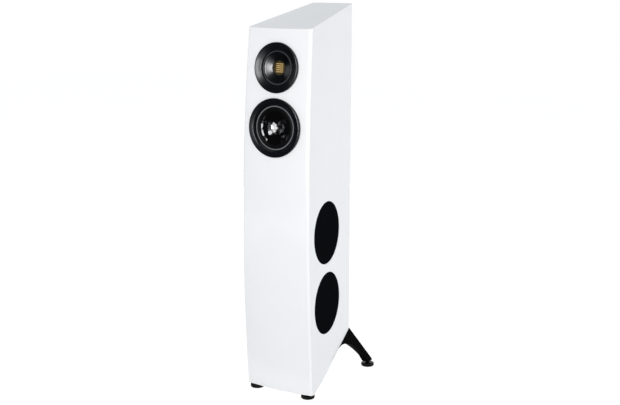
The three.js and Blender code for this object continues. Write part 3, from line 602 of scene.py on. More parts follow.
def stepped_cut(place, steps, edge_round=0):
    """A hole that widens in steps towards the outside, its mouth eased where that shows."""
    profile = [(0, steps[0][1]), steps[0]]
    for (radius, _), (next_radius, next_floor) in zip(steps, steps[1:]):
        profile += [(radius, next_floor), (next_radius, next_floor)]
    mouth = steps[-1][0] + edge_round
    if edge_round:
        profile += arc((mouth, -edge_round), edge_round, 180, 90)
    return turned("cut", [*profile, (mouth, REACH), (0, REACH)], place)


def stem_cut(place, seat):
    """The hole for a foot's stem, from the floor up into its seat."""
    hole = cylinder_profile(FOOT_STEM_RADIUS + SLACK, 0, seat + FOOT_STEM_LENGTH + SEAM)
    return turned("cut", hole, place, STEM_STEPS)


def block(name, size, place):
    """A box of that size about its place, grown from a cube."""
    piece = start_piece(name, bpy.ops.mesh.primitive_cube_add, size=1)
    piece.scale = size
    bpy.ops.object.transform_apply(location=True, rotation=True, scale=True)
    settle(piece, place)
    return piece


def choose_faces(piece, is_chosen):
    """Selects the faces that a test picks, and nothing else."""
    for parts in (piece.data.vertices, piece.data.edges, piece.data.polygons):
        parts.foreach_set("select", [False] * len(parts))
    for face in piece.data.polygons:
        face.select = is_chosen(face)


def ease_rims(body):
    """Rounds the edges around the top and the bottom, as sanding and thick lacquer leave them."""
    with editing(body, "DESELECT", "EDGE"):
        bpy.ops.mesh.edges_select_sharp(sharpness=math.radians(RIM_ANGLE))
        bpy.ops.mesh.bevel(offset=RIM_RADIUS, segments=4, affect="EDGES", clamp_overlap=False)


def weld_cuts(body):
    """Merges points that the cuts left a hair apart, and drops the slivers that this folds shut."""
    with editing(body, kind="FACE"):
        bpy.ops.mesh.quads_convert_to_tris()
        bpy.ops.mesh.remove_doubles(threshold=CUT_TOLERANCE)
    count = Counter(frozenset(face.vertices) for face in body.data.polygons)
    choose_faces(body, lambda face: count[frozenset(face.vertices)] > 1)
    with editing(body, None, "FACE"):
        bpy.ops.mesh.delete(type="FACE")


cabinet = loft("cabinet_body", LEVELS, {}, 0, 0)
ease_rims(cabinet)
walls = {"front": BAFFLE_WALL, "side": SIDE_WALL, "back": BACK_WALL,
         "front_radius": REAR_EDGE_RADIUS, "rear_radius": REAR_EDGE_RADIUS}
cut_out(cabinet, loft("cavity", CAVITY_LEVELS, walls, BOTTOM_WALL, TOP_WALL),
        stepped_cut(on_front(TWEETER_HEIGHT), TWEETER_CUT),
        stepped_cut(on_front(MIDRANGE_HEIGHT), MIDRANGE_CUT))
for depth, height in WOOFER_PLACES.values():
    for side in SIDES.values():
        cut_out(cabinet, stepped_cut(on_side(side, depth, height), WOOFER_CUT, GRILLE_EDGE_ROUND))
terminal_width, terminal_tall, terminal_thickness = TERMINAL_SIZE
cut_out(cabinet, stepped_cut(on_back(PORT_HEIGHT), PORT_CUT))
for wider, deep in ((SLACK, terminal_thickness + SEAM), (-TERMINAL_MARGIN, REACH)):
    size = (terminal_width + 2 * wider, terminal_tall + 2 * wider, 2 * deep)
    cut_out(cabinet, block("cut", size, on_back(TERMINAL_HEIGHT)))
for side in SIDES.values():
    axis = Matrix.Translation((side * FRONT_FOOT_AXIS[0], FRONT_FOOT_AXIS[1] + front_edge_y, 0))
    cut_out(cabinet, stem_cut(axis, FRONT_BOTTOM))
weld_cuts(cabinet)
finish(cabinet, white_lacquer, "cabinet", "front_baffle", "side_panel_left", "side_panel_right",
       "top_panel", "bottom_panel", "back_panel", smooth_below=25)


# The tweeter's trim ring: a moulded funnel with a satin finish, pressed over the horn's flange. Its flank
# runs down in a hollow curve to the horn's ridge, and its lip stands before the lacquer.
RING_LIP = 0.0018
RING_RISE = 0.005
RING_STEPS = 128
LIP_LEAN = 21
LIP_SLOPE = 0.8
LIP_SLOPE_SHARES = (0.9, 1)
LIP_END_SHARES = (1.9, 0.1)
TWEETER_RING_RADIUS = 0.0729
TWEETER_RING_INNER = 0.0495
TWEETER_RING_BACK = -0.005
TWEETER_RING_FLOOR = -0.0036
TWEETER_HOLLOW_RADIUS = 0.014
TWEETER_HOLLOW_START = 0.05
TWEETER_FLANK_ANGLE = 27.6
GROOVE_PITCH = 0.0005
TURNED_TONE_SCALE = 300
TURNED_GRAIN_SCALE = 700
COOL_TINT = (0.9, 0.95, 1, 1)

tweeter_place = on_front(TWEETER_HEIGHT)


def ring_lip(radius):
    """The rounded lip of a ring, whose top leans outwards, from its rim to where the flank starts."""
    lean = math.radians(LIP_LEAN)
    centre = (radius - RING_LIP, RING_RISE - RING_LIP * (LIP_SLOPE * math.sin(lean) + math.cos(lean)))
    edge = arc(centre, RING_LIP, 0, 90 - LIP_LEAN)
    across, up = edge[-1]
    slope = [(across - RING_LIP * LIP_SLOPE * share * math.cos(lean),
              up + RING_LIP * LIP_SLOPE * share * math.sin(lean)) for share in LIP_SLOPE_SHARES]
    return [*edge, *slope, (radius - RING_LIP * LIP_END_SHARES[0], RING_RISE - RING_LIP * LIP_END_SHARES[1])]


def make_grooves():
    """Fine grooves around the axis, as a lathe or a polished mould leaves them."""
    group, given, result = new_group("turned_grooves", ["Height"], Pitch=GROOVE_PITCH)
    parts = add_node(group, "SeparateXYZ", given["Vector"]).outputs
    squares = [calculate(group, "POWER", parts[axis], 2) for axis in "XY"]
    radius = calculate(group, "SQRT", calculate(group, "ADD", *squares))
    rings = add_node(group, "TexNoise", settings=[("noise_dimensions", "1D")], Detail=2, Scale=1,
                     W=calculate(group, "DIVIDE", radius, given["Pitch"]))
    feed(group, rings, result["Height"])
    return group


turned_grooves = make_grooves()


def flat_places(material):
    return add_node(material.node_tree, "Attribute", settings=[("attribute_name", "flat")]).outputs["Vector"]


def turned_finish(name, dark, light, roughness, spread, groove_depth, **sockets):
    """A finish on a turned or moulded round piece: grain in colour and roughness, grooves in the surface."""
    material = principled(name, light, roughness, **sockets)
    places = flat_places(material)
    mottle(material, places, TURNED_TONE_SCALE, dark, light)
    roughen(material, places, TURNED_GRAIN_SCALE, roughness, spread)
    grooves = place_group(material, turned_grooves, places, Pitch=GROOVE_PITCH)
    bump(material, grooves["Height"], groove_depth)
    return material


satin_black = turned_finish(
    "satin_black", (0.003, 0.0035, 0.0045), (0.005, 0.0055, 0.007), 0.26, 0.08, 0.000008,
    Specular_IOR_Level=0.46, Specular_Tint=COOL_TINT)
tweeter_ring = turned("tweeter_funnel_ring", [
    (TWEETER_RING_INNER, TWEETER_RING_BACK),
    (TWEETER_RING_RADIUS, TWEETER_RING_BACK),
    *ring_lip(TWEETER_RING_RADIUS),
    *arc((TWEETER_HOLLOW_START, TWEETER_RING_FLOOR + TWEETER_HOLLOW_RADIUS), TWEETER_HOLLOW_RADIUS,
         270 + TWEETER_FLANK_ANGLE, 270, 10),
    (TWEETER_RING_INNER, TWEETER_RING_FLOOR - RING_LIP / 3),
], tweeter_place, RING_STEPS)
finish(tweeter_ring, satin_black, "cabinet", "tweeter_trim_ring")


# The horn: one moulding in glossy black, with a flange that the baffle holds, a rounded ridge around its
# mouth, and a shallow cone down to the round throat in front of the ribbon.
HORN_FLANGE = (0.062, -0.0074, -0.0053)
HORN_RIDGE = (0.0494, 0.0458, -0.005)
HORN_MOUTH = (0.0451, -0.0066)
HORN_THROAT = (0.0208, -0.0151)
HORN_WALL = 0.002
HORN_HOLLOW = 0.0002
HORN_STEPS = 8

flange_radius, flange_back, flange_front = HORN_FLANGE
ridge_outer, ridge_inner, ridge_base = HORN_RIDGE
ridge_half = (ridge_outer - ridge_inner) / 2
throat_radius, throat_depth = HORN_THROAT
throat_round = HORN_WALL / 3
gloss_black = turned_finish(
    "gloss_black", (0.002, 0.0022, 0.003), (0.004, 0.0045, 0.0055), 0.22, 0.05, 0.000006,
    Specular_IOR_Level=0.8, Specular_Tint=(0.92, 0.95, 1, 1))
ridge_grey = turned_finish(
    "ridge_grey", (0.03, 0.032, 0.036), (0.045, 0.047, 0.052), 0.35, 0.06, 0.000005, Specular_IOR_Level=0.6)


def horn_flank(share):
    """A point from the mouth down to the throat, a little raised, so that the flank steepens inwards."""
    radius = mix(HORN_MOUTH[0], throat_radius + throat_round, share)
    level = mix(HORN_MOUTH[1], throat_depth + throat_round / 3, share)
    return radius, level + 4 * HORN_HOLLOW * share * (1 - share)


def paint_band(piece, material, place, inner, outer, low):
    """Another finish on the faces between two radii that stand above a level."""
    piece.data.materials.append(material)
    last = len(piece.data.materials) - 1
    to_local = place.inverted()
    for face in piece.data.polygons:
        spot = to_local @ face.center
        if spot.z > low and inner < math.hypot(spot.x, spot.y) < outer:
            face.material_index = last


horn = turned("ribbon_horn", [
    (throat_radius, throat_depth - HORN_WALL),
    (ridge_inner, flange_back),
    (flange_radius, flange_back),
    (flange_radius, flange_front),
    (ridge_outer, flange_front),
    *arc((ridge_inner + ridge_half, ridge_base), ridge_half, 0, 180, 8),
    (ridge_inner, HORN_MOUTH[1] + throat_round),
    *[horn_flank(i / HORN_STEPS) for i in range(HORN_STEPS + 1)],
    (throat_radius, throat_depth - throat_round / 2),
], tweeter_place, RING_STEPS)
finish(horn, gloss_black, "cabinet", "tweeter_horn")
paint_band(horn, ridge_grey, tweeter_place, ridge_inner - SEAM, ridge_outer + SEAM, HORN_MOUTH[1])


# The ribbon: a thin gilt foil folded to and fro down its height, in the window of a dark gilt plate behind
# the throat. Its colour is darkened down between the folds as painted shade, which makes its five front
# folds shine.
RIBBON_PLATE = (0.034, -0.0205, -0.0175)
RIBBON_WIDTH = 0.0245
RIBBON_FOLDS = 5
RIBBON_PITCH = 0.0058
RIBBON_DEPTH = 0.008
RIBBON_FOIL = 0.0004
RIBBON_STEPS = 24
RIBBON_ROUNDNESS = 0.8
# Painted shade between the folds: full below the first share of the fold depth, none above the second.
RIBBON_FULL_PAINTED_SHADE_SHARE = 0.5
RIBBON_NO_PAINTED_SHADE_SHARE = 0.14
RIBBON_GRAIN_SCALE = 900
RIBBON_ROUGHNESS = 0.4

plate_radius, plate_back, plate_front = RIBBON_PLATE
ribbon_height = RIBBON_FOLDS * RIBBON_PITCH
dark_gilt = turned_finish(
    "dark_gilt", (0.04, 0.026, 0.006), (0.075, 0.05, 0.013), 0.5, 0.1, 0.00001, Metallic=0.3)
ribbon_plate = turned("ribbon_window_plate", [
    (0, plate_back), (plate_radius, plate_back), (plate_radius, plate_front), (0, plate_front),
], tweeter_place)
cut_out(ribbon_plate, block(
    "cut", (RIBBON_WIDTH + 2 * SLACK, ribbon_height + 2 * SLACK, REACH), tweeter_place))
finish(ribbon_plate, dark_gilt, "cabinet", "ribbon_plate", slot="gilt_plate")


def fold_depth(height):
    """How deep the foil lies at a height: round folds in front and sharp ones behind."""
    share = (height + ribbon_height / 2) / RIBBON_PITCH
    return RIBBON_DEPTH * (1 - abs(math.sin(math.pi * share)) ** RIBBON_ROUNDNESS)


def painted_fold_shade_finish():
    """Gilt foil with painted shade: its base colour darkens with depth down between the folds, where little
    light comes out, and stays gilt on the crests.
    """
    material = principled("gilt_with_painted_fold_shade", (0.9, 0.66, 0.3), RIBBON_ROUGHNESS, Metallic=0.4)
    tree = material.node_tree
    places = flat_places(material)
    # Painted shade: the base colour runs from near black deep between the folds to gilt on the crests.
    reach = add_node(tree, "MapRange", add_node(tree, "SeparateXYZ", places).outputs["Z"],
                     plate_front - RIBBON_DEPTH * RIBBON_FULL_PAINTED_SHADE_SHARE,
                     plate_front - RIBBON_DEPTH * RIBBON_NO_PAINTED_SHADE_SHARE)
    shades(material, reach, (0.02, 0.011, 0.002), (0.95, 0.7, 0.3))
    bump(material, roughen(material, places, RIBBON_GRAIN_SCALE, RIBBON_ROUGHNESS, 0.1), RIBBON_FOIL / 20)
    return material


ribbon = start_piece("ribbon_foil", bpy.ops.mesh.primitive_grid_add,
                     x_subdivisions=2, y_subdivisions=RIBBON_FOLDS * RIBBON_STEPS, size=1)
for vertex in ribbon.data.vertices:
    height = vertex.co.y * ribbon_height
    vertex.co = (vertex.co.x * RIBBON_WIDTH, height, plate_front - RIBBON_FOIL - fold_depth(height))
apply(ribbon, "SOLIDIFY", thickness=RIBBON_FOIL, offset=0)
settle(ribbon, tweeter_place)
finish(ribbon, painted_fold_shade_finish(), "cabinet", "tweeter_ribbon", slot="ribbon_foil", smooth_below=50)


# The midrange's trim ring: moulded like the tweeter's. Its flank dips in two steps, and on its foot, over
# the surround's edge, lies a thin bead in plain grey.
MIDRANGE_RING_RADIUS = 0.086
MIDRANGE_RING_BACK = -0.0064
MIDRANGE_RING_INNER = 0.0644
MIDRANGE_SHOULDER = (0.0722, 0.0015)
SHOULDER_FALL_SHARE = 0.7
MIDRANGE_GROOVE = (0.0664, -0.0042)
MIDRANGE_BEAD_INNER = 0.061
MIDRANGE_BEAD_BACK = -0.0051
MIDRANGE_BEAD_TOP = -0.0028
MIDRANGE_BEAD_ROUND = 0.0007

midrange_place = on_front(MIDRANGE_HEIGHT)
bead_round = MIDRANGE_BEAD_ROUND
bead_level = MIDRANGE_BEAD_TOP - bead_round
bead_grey = turned_finish(
    "bead_grey", (0.12, 0.125, 0.135), (0.165, 0.17, 0.18), 0.45, 0.08, 0.000005, Specular_IOR_Level=0.4)
dull_black = turned_finish(
    "dull_black", (0.003, 0.0035, 0.0045), (0.005, 0.0055, 0.007), 0.26, 0.08, 0.000008,
    Specular_IOR_Level=0.3, Specular_Tint=COOL_TINT)
shoulder_radius, shoulder_level = MIDRANGE_SHOULDER
midrange_ring = turned("midrange_funnel_ring", [
    (MIDRANGE_BEAD_INNER, MIDRANGE_BEAD_BACK),
    (MIDRANGE_RING_INNER, MIDRANGE_BEAD_BACK),
    (MIDRANGE_RING_INNER, MIDRANGE_RING_BACK),
    (MIDRANGE_RING_RADIUS, MIDRANGE_RING_BACK),
    *ring_lip(MIDRANGE_RING_RADIUS),
    (shoulder_radius + RING_LIP, shoulder_level + RING_LIP / 3),
    MIDRANGE_SHOULDER,
    (shoulder_radius - RING_LIP, shoulder_level - RING_LIP * SHOULDER_FALL_SHARE),
    MIDRANGE_GROOVE,
    (MIDRANGE_RING_INNER, MIDRANGE_GROOVE[1]),
    *arc((MIDRANGE_RING_INNER - bead_round, bead_level), bead_round, 0, 90, 5),
    *arc((MIDRANGE_BEAD_INNER + bead_round, bead_level), bead_round, 90, 180, 5),
], midrange_place, RING_STEPS)
finish(midrange_ring, dull_black, "cabinet", "midrange_trim_ring", slot="satin_black", smooth_below=24)
paint_band(midrange_ring, bead_grey, midrange_place, 0, MIDRANGE_RING_INNER + SEAM, MIDRANGE_GROOVE[1])
paint_band(midrange_ring, satin_black, midrange_place, MIDRANGE_RING_RADIUS - 2 * RING_LIP,
           MIDRANGE_RING_RADIUS, RING_RISE - RING_LIP)


# A driver's surround: a half roll of soft black rubber, glued to the basket outside and to the cone inside.
# Its outer half stays on the cabinet, and its inner half is set on no body. The spider, a corrugated ring of
# treated cloth, is set on no body either.
ROLL_THICKNESS = 0.001
ROLL_LIP = 0.003
ROLL_STEPS = 10
ROLL_SMOOTH = 40
SPIDER_THICKNESS = 0.0005
SPIDER_WAVE = 0.0006
SPIDER_DISH = 0.002
SPIDER_WAVES = 5
SPIDER_STEPS = 40
SPIDER_SMOOTH = 60
PAPER_STEPS = 72

surround_rubber = turned_finish(
    "surround_rubber", (0.002, 0.002, 0.0025), (0.004, 0.004, 0.0048), 0.42, 0.08, 0.00001,
    Specular_IOR_Level=0.15)
treated_cloth = grained(
    "treated_cloth", (0.2, 0.12, 0.04), (0.33, 0.21, 0.08), 0.85, 0.1, 1200, 0.00015)


def surround_half(name, place, base, outer, width, height, side):
    """The outer or inner half of the roll, side 1 or -1, from its crest to the lip, as a closed ring."""
    middle = outer - width / 2
    half = width / 2
    thin = ROLL_THICKNESS / 2
    lip = middle + side * (half + ROLL_LIP)
    under, over = [], []
    for i in range(ROLL_STEPS + 1):
        angle = math.pi / 2 * (1 - i / ROLL_STEPS)
        out = math.cos(angle)
        under.append((middle + side * (half - thin) * out, base + height * math.sin(angle)))
        rise = base + ROLL_THICKNESS + (height - thin) * math.sin(angle)
        over.append((middle + side * (half + thin) * out, rise))
    return turned(name, [*under, (lip, base), (lip, base + ROLL_THICKNESS), *reversed(over)], place)


def bend_between(piece, material, node, smooth_below):
    """Dresses a piece, hides the node it stands for, and bakes its place into its points."""
    dress(piece, material, smooth_below=smooth_below)
    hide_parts(node)
    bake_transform(piece)


def add_surround(name, place, face, outer, width, height, cone_body):
    """Both halves of a surround: the outer rides the cabinet, and the inner is set on no body. The cone body
    is not used.
    """
    base = face + SEAM
    roll = (place, base, outer, width, height)
    outer_half = surround_half(f"{name}_surround_outer", *roll, 1)
    finish(outer_half, surround_rubber, "cabinet", f"{name}_surround", smooth_below=ROLL_SMOOTH)
    inner_half = surround_half(f"{name}_surround_inner", *roll, -1)
    bend_between(inner_half, surround_rubber, f"{name}_surround",
                 ROLL_SMOOTH)


def add_spider(name, place, inner, outer, level, cone_body):
    """A corrugated ring, flat where it is glued, a little higher at the coil than at the basket."""
    top = []
    for i in range(SPIDER_STEPS + 1):
        share = i / SPIDER_STEPS
        wave = SPIDER_WAVE * math.sin(math.pi * share) ** 0.5 * math.sin(2 * math.pi * SPIDER_WAVES * share)
        top.append((inner + (outer - inner) * share, level + SPIDER_DISH * (1 - share) + wave))
    bottom = [(radius, height - SPIDER_THICKNESS) for radius, height in top]
    spider = turned(f"{name}_corrugated_spider", [*bottom, *reversed(top)], place, PAPER_STEPS)
    bend_between(spider, treated_cloth, f"{name}_spider",
                 SPIDER_SMOOTH)


MIDRANGE_FACE = -0.0067
MIDRANGE_ROLL = (0.0605, 0.0075, 0.0045)
MIDRANGE_THROAT = 0.017
MIDRANGE_THROAT_LEVEL = -0.0237
MIDRANGE_SPIDER = (0.0173, 0.037, -0.0297)
add_surround("midrange", midrange_place, MIDRANGE_FACE, *MIDRANGE_ROLL, "midrange_cone")
add_spider("midrange", midrange_place, *MIDRANGE_SPIDER, "midrange_cone")


# The midrange's cone: a stiff black membrane pressed into facets like cut glass, glossy, on a coil former.
# Its rim is shallow and its middle steep, and a dished cap, facetted too and bright, closes its throat.
CONE_THICKNESS = 0.0015
COIL_WALL = 0.0012
MIDRANGE_COIL_END = -0.0397
FACET_SIDES = 34
FACET_RINGS = ((0.0524, -0.00695), (0.0462, -0.0094), (0.038, -0.0147), (0.0295, -0.0199))
FACET_FLOOR = (0.0215, -0.0222)
FACET_LIFT = 0.0004
FACET_SEED = 5
CAP_SIDES = 11
CAP_RIM = (0.0205, -0.0149)
CAP_RINGS = ((0.0125, -0.0183), (0.0055, -0.0204))
CAP_MIDDLE = -0.0212
CAP_LIFT = 0.0009
CAP_SEED = 3
ON_RING = 0.00001

facet_black = grained(
    "facet_black", (0.002, 0.002, 0.0022), (0.004, 0.004, 0.0045), 0.09, 0.03, 600, 0.000003,
    Specular_IOR_Level=0.62, Specular_Tint=COOL_TINT)
cap_silver = grained(
    "cap_silver", (0.26, 0.265, 0.28), (0.38, 0.385, 0.4), 0.22, 0.05, 600, 0.000003, Metallic=1)


def add_facetted(name, profile, rings, sides, lift, seed, material):
    """A turned piece of the cone with every second ring turned by half a step and its points lifted a
    little, so that flat facets form."""
    piece = turned(name, profile, None, sides)
    chance = random.Random(seed)
    for vertex in piece.data.vertices:
        for i, (radius, level) in enumerate(rings):
            is_on_ring = abs(math.hypot(vertex.co.x, vertex.co.y) - radius) < ON_RING
            if is_on_ring and abs(vertex.co.z - level) < ON_RING:
                turn = Matrix.Rotation(math.pi / sides * (i % 2), 3, "Z")
                vertex.co = turn @ vertex.co + Vector((0, 0, chance.uniform(-lift, lift)))
                break
    with editing(piece):
        bpy.ops.mesh.quads_convert_to_tris(quad_method="SHORTEST_DIAGONAL")
    settle(piece, midrange_place)
    finish(piece, material, "midrange_cone", "midrange_cone", slot="facet_cone", smooth_below=None)


cone_rim = MIDRANGE_ROLL[0] - MIDRANGE_ROLL[1]
coil_inner = MIDRANGE_THROAT - COIL_WALL
add_facetted("midrange_facetted_cone", [
    (coil_inner, MIDRANGE_COIL_END),
    (MIDRANGE_THROAT, MIDRANGE_COIL_END),
    (MIDRANGE_THROAT, MIDRANGE_THROAT_LEVEL - CONE_THICKNESS),
    (cone_rim, MIDRANGE_FACE - CONE_THICKNESS),
    (cone_rim, MIDRANGE_FACE),
    *FACET_RINGS,
    FACET_FLOOR,
    (coil_inner, MIDRANGE_THROAT_LEVEL),
], FACET_RINGS[1:], FACET_SIDES, FACET_LIFT, FACET_SEED, facet_black)

rim_radius, rim_level = CAP_RIM
floor_radius, floor_level = FACET_FLOOR
add_facetted("midrange_facetted_cap", [
    (0, CAP_MIDDLE - CONE_THICKNESS),
    (rim_radius - CONE_THICKNESS, rim_level - CONE_THICKNESS),
    (floor_radius - CONE_THICKNESS, floor_level + SEAM),
    (floor_radius, floor_level + SEAM),
    CAP_RIM,
    *CAP_RINGS,
    (0, CAP_MIDDLE),
], [CAP_RIM, *CAP_RINGS], CAP_SIDES, CAP_LIFT, CAP_SEED, cap_silver)


# The woofers, two on each side, back to back: paper cones with a smooth dust cap, on the same kind of
# surround and spider as the midrange, behind the grilles.
WOOFER_FACE = -0.016
WOOFER_ROLL = (0.08, 0.014, 0.007)
WOOFER_THROAT = 0.022
WOOFER_THROAT_LEVEL = -0.037
WOOFER_COIL_END = -0.06
WOOFER_CAP = (0.03, 0.006)
WOOFER_CAP_STEPS = 6
WOOFER_SPIDER = (0.0223, 0.046, -0.044)

woofer_cone = turned_finish(
    "woofer_cone", (0.006, 0.006, 0.0065), (0.012, 0.012, 0.013), 0.5, 0.12, 0.00003,
    Specular_IOR_Level=0.25)


def woofer_cone_profile():
    rim = WOOFER_ROLL[0] - WOOFER_ROLL[1]
    cap_radius, rise = WOOFER_CAP
    inner = WOOFER_THROAT - COIL_WALL
    level = mix(WOOFER_THROAT_LEVEL, WOOFER_FACE, (cap_radius - WOOFER_THROAT) / (rim - WOOFER_THROAT))
    shares = [1 - i / WOOFER_CAP_STEPS for i in range(WOOFER_CAP_STEPS + 1)]
    dome = [(cap_radius * share, level + rise * (1 - share ** 2)) for share in shares]
    under = level + rise * (1 - (inner / cap_radius) ** 2) - CONE_THICKNESS
    return [
        (0, level + rise - CONE_THICKNESS), (inner, under), (inner, WOOFER_COIL_END),
        (WOOFER_THROAT, WOOFER_COIL_END), (WOOFER_THROAT, WOOFER_THROAT_LEVEL - CONE_THICKNESS),
        (rim, WOOFER_FACE - CONE_THICKNESS), (rim, WOOFER_FACE), *dome,
    ]


# The grilles: fine black cloth stretched over a ring and tucked in behind it, pressed flush into the side.
# The weave is plain, with threads that pass over and under each other.
GRILLE_RADIUS = 0.0955
GRILLE_INSET = 0.0004
GRILLE_THICKNESS = 0.006
GRILLE_SKIN = 0.0015
GRILLE_RIM = 0.0075
GRILLE_ROUND = 0.0012
WEAVE_PITCH = 0.0009
THREAD_GRAIN_SCALE = 1500
CLOTH_BLACK = (0.006, 0.0062, 0.0075)
CLOTH_ROUGHNESS = 0.9


def make_weave():
    """Plain weave in the plane of the piece. Height is that of whichever thread lies on top."""
    group, given, result = new_group("plain_weave", ["Height"], Pitch=WEAVE_PITCH)
    parts = add_node(group, "SeparateXYZ", given["Vector"]).outputs
    places = [calculate(group, "DIVIDE", parts[axis], given["Pitch"]) for axis in "XY"]
    waves = [calculate(group, "SINE", calculate(group, "MULTIPLY", place, math.pi)) for place in places]
    warp, weft = [calculate(group, "ABSOLUTE", wave) for wave in waves]
    cells = calculate(group, "ADD", *[calculate(group, "FLOOR", place) for place in places])
    is_weft = calculate(group, "FLOORED_MODULO", cells, 2)
    is_warp = calculate(group, "SUBTRACT", 1, is_weft)
    height = calculate(group, "ADD", calculate(group, "MULTIPLY", warp, is_warp),
                       calculate(group, "MULTIPLY", weft, is_weft))
    feed(group, height, result["Height"])
    return group


def cloth_finish():
    """Black acoustic cloth: threads in a plain weave, with painted shade that darkens the colour between
    them.
    """
    material = principled("grille_cloth", CLOTH_BLACK, CLOTH_ROUGHNESS, Specular_IOR_Level=0)
    places = flat_places(material)
    weave = place_group(material, make_weave(), places, Pitch=WEAVE_PITCH)
    # Painted shade: the base colour follows the weave's height, darker where the threads dip.
    shades(material, weave["Height"], (0.0025, 0.0026, 0.0032), (0.0055, 0.0057, 0.007))
    roughen(material, places, THREAD_GRAIN_SCALE, CLOTH_ROUGHNESS, 0.1)
    bump(material, weave["Height"], WEAVE_PITCH / 3, 0.6)
    return material


grille_cloth = cloth_finish()
grille_top = -GRILLE_INSET
grille_profile = [
    (0, grille_top - GRILLE_SKIN),
    (GRILLE_RADIUS - GRILLE_RIM, grille_top - GRILLE_SKIN),
    (GRILLE_RADIUS - GRILLE_RIM, grille_top - GRILLE_THICKNESS),
    (GRILLE_RADIUS, grille_top - GRILLE_THICKNESS),
    *arc((GRILLE_RADIUS - GRILLE_ROUND, grille_top - GRILLE_ROUND), GRILLE_ROUND, 0, 90),
    (0, grille_top),
]
for side_name, side in SIDES.items():
    for level_name, (depth, height) in WOOFER_PLACES.items():
        name = f"woofer_{level_name}_{side_name}"
        place = on_side(side, depth, height)
        body = f"{name}_cone"
        paper = turned(f"{name}_paper_cone", woofer_cone_profile(), place, PAPER_STEPS)
        finish(paper, woofer_cone, body, body)
        add_surround(name, place, WOOFER_FACE, *WOOFER_ROLL, body)
        add_spider(name, place, *WOOFER_SPIDER, body)
        grille = turned(f"cloth_grille_{level_name}_{side_name}", grille_profile, place)
        finish(grille, grille_cloth, "cabinet", f"grille_{level_name}_{side_name}")


# The reflex port: a moulded tube through the back, its mouth rolled out into a flush flange.
# It is pressed in from behind.
PORT_RADIUS = 0.035
PORT_WALL = 0.003
PORT_LENGTH = 0.14
PORT_FLARE = 0.012
PORT_FLANGE = (0.056, 0.004)
PORT_EDGE = 0.0008

moulded_black = turned_finish(
    "moulded_black", (0.011, 0.011, 0.012), (0.018, 0.018, 0.019), 0.45, 0.1, 0.00001,
    Specular_IOR_Level=0.35)
port_flange, port_flange_thickness = PORT_FLANGE
port = turned("reflex_port_tube", [
    (PORT_RADIUS, -PORT_LENGTH),
    (PORT_RADIUS + PORT_WALL, -PORT_LENGTH),
    (PORT_RADIUS + PORT_WALL, -port_flange_thickness),
    (port_flange, -port_flange_thickness),
    *arc((port_flange - PORT_EDGE, -PORT_EDGE), PORT_EDGE, 0, 90, 4),
    *arc((PORT_RADIUS + PORT_FLARE, -PORT_FLARE), PORT_FLARE, 90, 180, 14),
], on_back(PORT_HEIGHT))
finish(port, moulded_black, "cabinet", "reflex_port")


# The terminals: a moulded plate let into the back, its middle sunk a little, and two gilt brass posts with
# ribbed screw caps.
TERMINAL_EDGE = 0.0008
TERMINAL_BORDER = 0.007
TERMINAL_SINK = 0.0012
POST_SPREAD = 0.019
POST_STUD = 0.003
POST_COLLAR = (0.01, 0.005)
POST_LENGTH = 0.027
POST_TAIL = 0.014
POST_STEPS = 48
CAP_OUTER = 0.0085
CAP_LENGTH = 0.018
CAP_BEVEL = 0.0012
CAP_RIBS = 20
CAP_RIB_DEPTH = 0.0005
CAP_RIB_STEPS = 6

terminal_place = on_back(TERMINAL_HEIGHT)
plate = block("terminal_panel", TERMINAL_SIZE, Matrix.Translation((0, 0, -terminal_thickness / 2)))
with editing(plate, kind="EDGE"):
    bpy.ops.mesh.bevel(offset=TERMINAL_EDGE, segments=3, affect="EDGES")
top_face = max(plate.data.polygons, key=lambda face: (round(face.center.z, DIGITS), face.area)).index
choose_faces(plate, lambda face: face.index == top_face)
with editing(plate, None, "FACE"):
    bpy.ops.mesh.inset(thickness=TERMINAL_BORDER, depth=0)
    bpy.ops.mesh.inset(thickness=TERMINAL_SINK, depth=-TERMINAL_SINK)
hole = cylinder_profile(POST_STUD + SLACK, -REACH, REACH)
for side in SIDES.values():
    cut_out(plate, turned("cut", hole, Matrix.Translation((side * POST_SPREAD, 0, 0)), STEM_STEPS))
settle(plate, terminal_place)
finish(plate, moulded_black, "cabinet", "terminal_plate")

post_brass = turned_finish(
    "post_brass", (0.62, 0.42, 0.15), (0.8, 0.6, 0.28), 0.24, 0.08, 0.00001, Metallic=1)
collar_radius, collar_height = POST_COLLAR
cap_low = SEAM + collar_height + SEAM
cap_top = cap_low + CAP_LENGTH
for side_name, side in SIDES.items():
    place = terminal_place @ Matrix.Translation((-side * POST_SPREAD, 0, 0))
    post = turned(f"gilt_post_{side_name}", [
        (0, -POST_TAIL), (POST_STUD, -POST_TAIL), (POST_STUD, SEAM), (collar_radius, SEAM),
        *arc((collar_radius - CAP_BEVEL, SEAM + collar_height - CAP_BEVEL), CAP_BEVEL, 0, 90, 4),
        (POST_STUD, SEAM + collar_height), (POST_STUD, POST_LENGTH - CAP_BEVEL / 2),
        (POST_STUD - CAP_BEVEL / 2, POST_LENGTH), (0, POST_LENGTH),
    ], place, POST_STEPS)
    finish(post, post_brass, "cabinet", f"binding_post_{side_name}")
    cap = turned(f"ribbed_cap_{side_name}", [
        (POST_STUD + SLACK, cap_low), (CAP_OUTER - CAP_BEVEL, cap_low),
        (CAP_OUTER, cap_low + CAP_BEVEL), (CAP_OUTER, cap_top - CAP_BEVEL),
        (CAP_OUTER - CAP_BEVEL, cap_top), (POST_STUD + SLACK, cap_top),
    ], None, CAP_RIBS * CAP_RIB_STEPS)
    for vertex in cap.data.vertices:
        radius = math.hypot(vertex.co.x, vertex.co.y)
        if radius > CAP_OUTER - CAP_BEVEL / 2:
            angle = math.atan2(vertex.co.y, vertex.co.x)
            radius_now = CAP_OUTER - CAP_RIB_DEPTH * (0.5 - 0.5 * math.cos(CAP_RIBS * angle))
            vertex.co.x *= radius_now / radius
            vertex.co.y *= radius_now / radius
    settle(cap, place)
    finish(cap, post_brass, f"post_cap_{side_name}", f"post_cap_{side_name}")


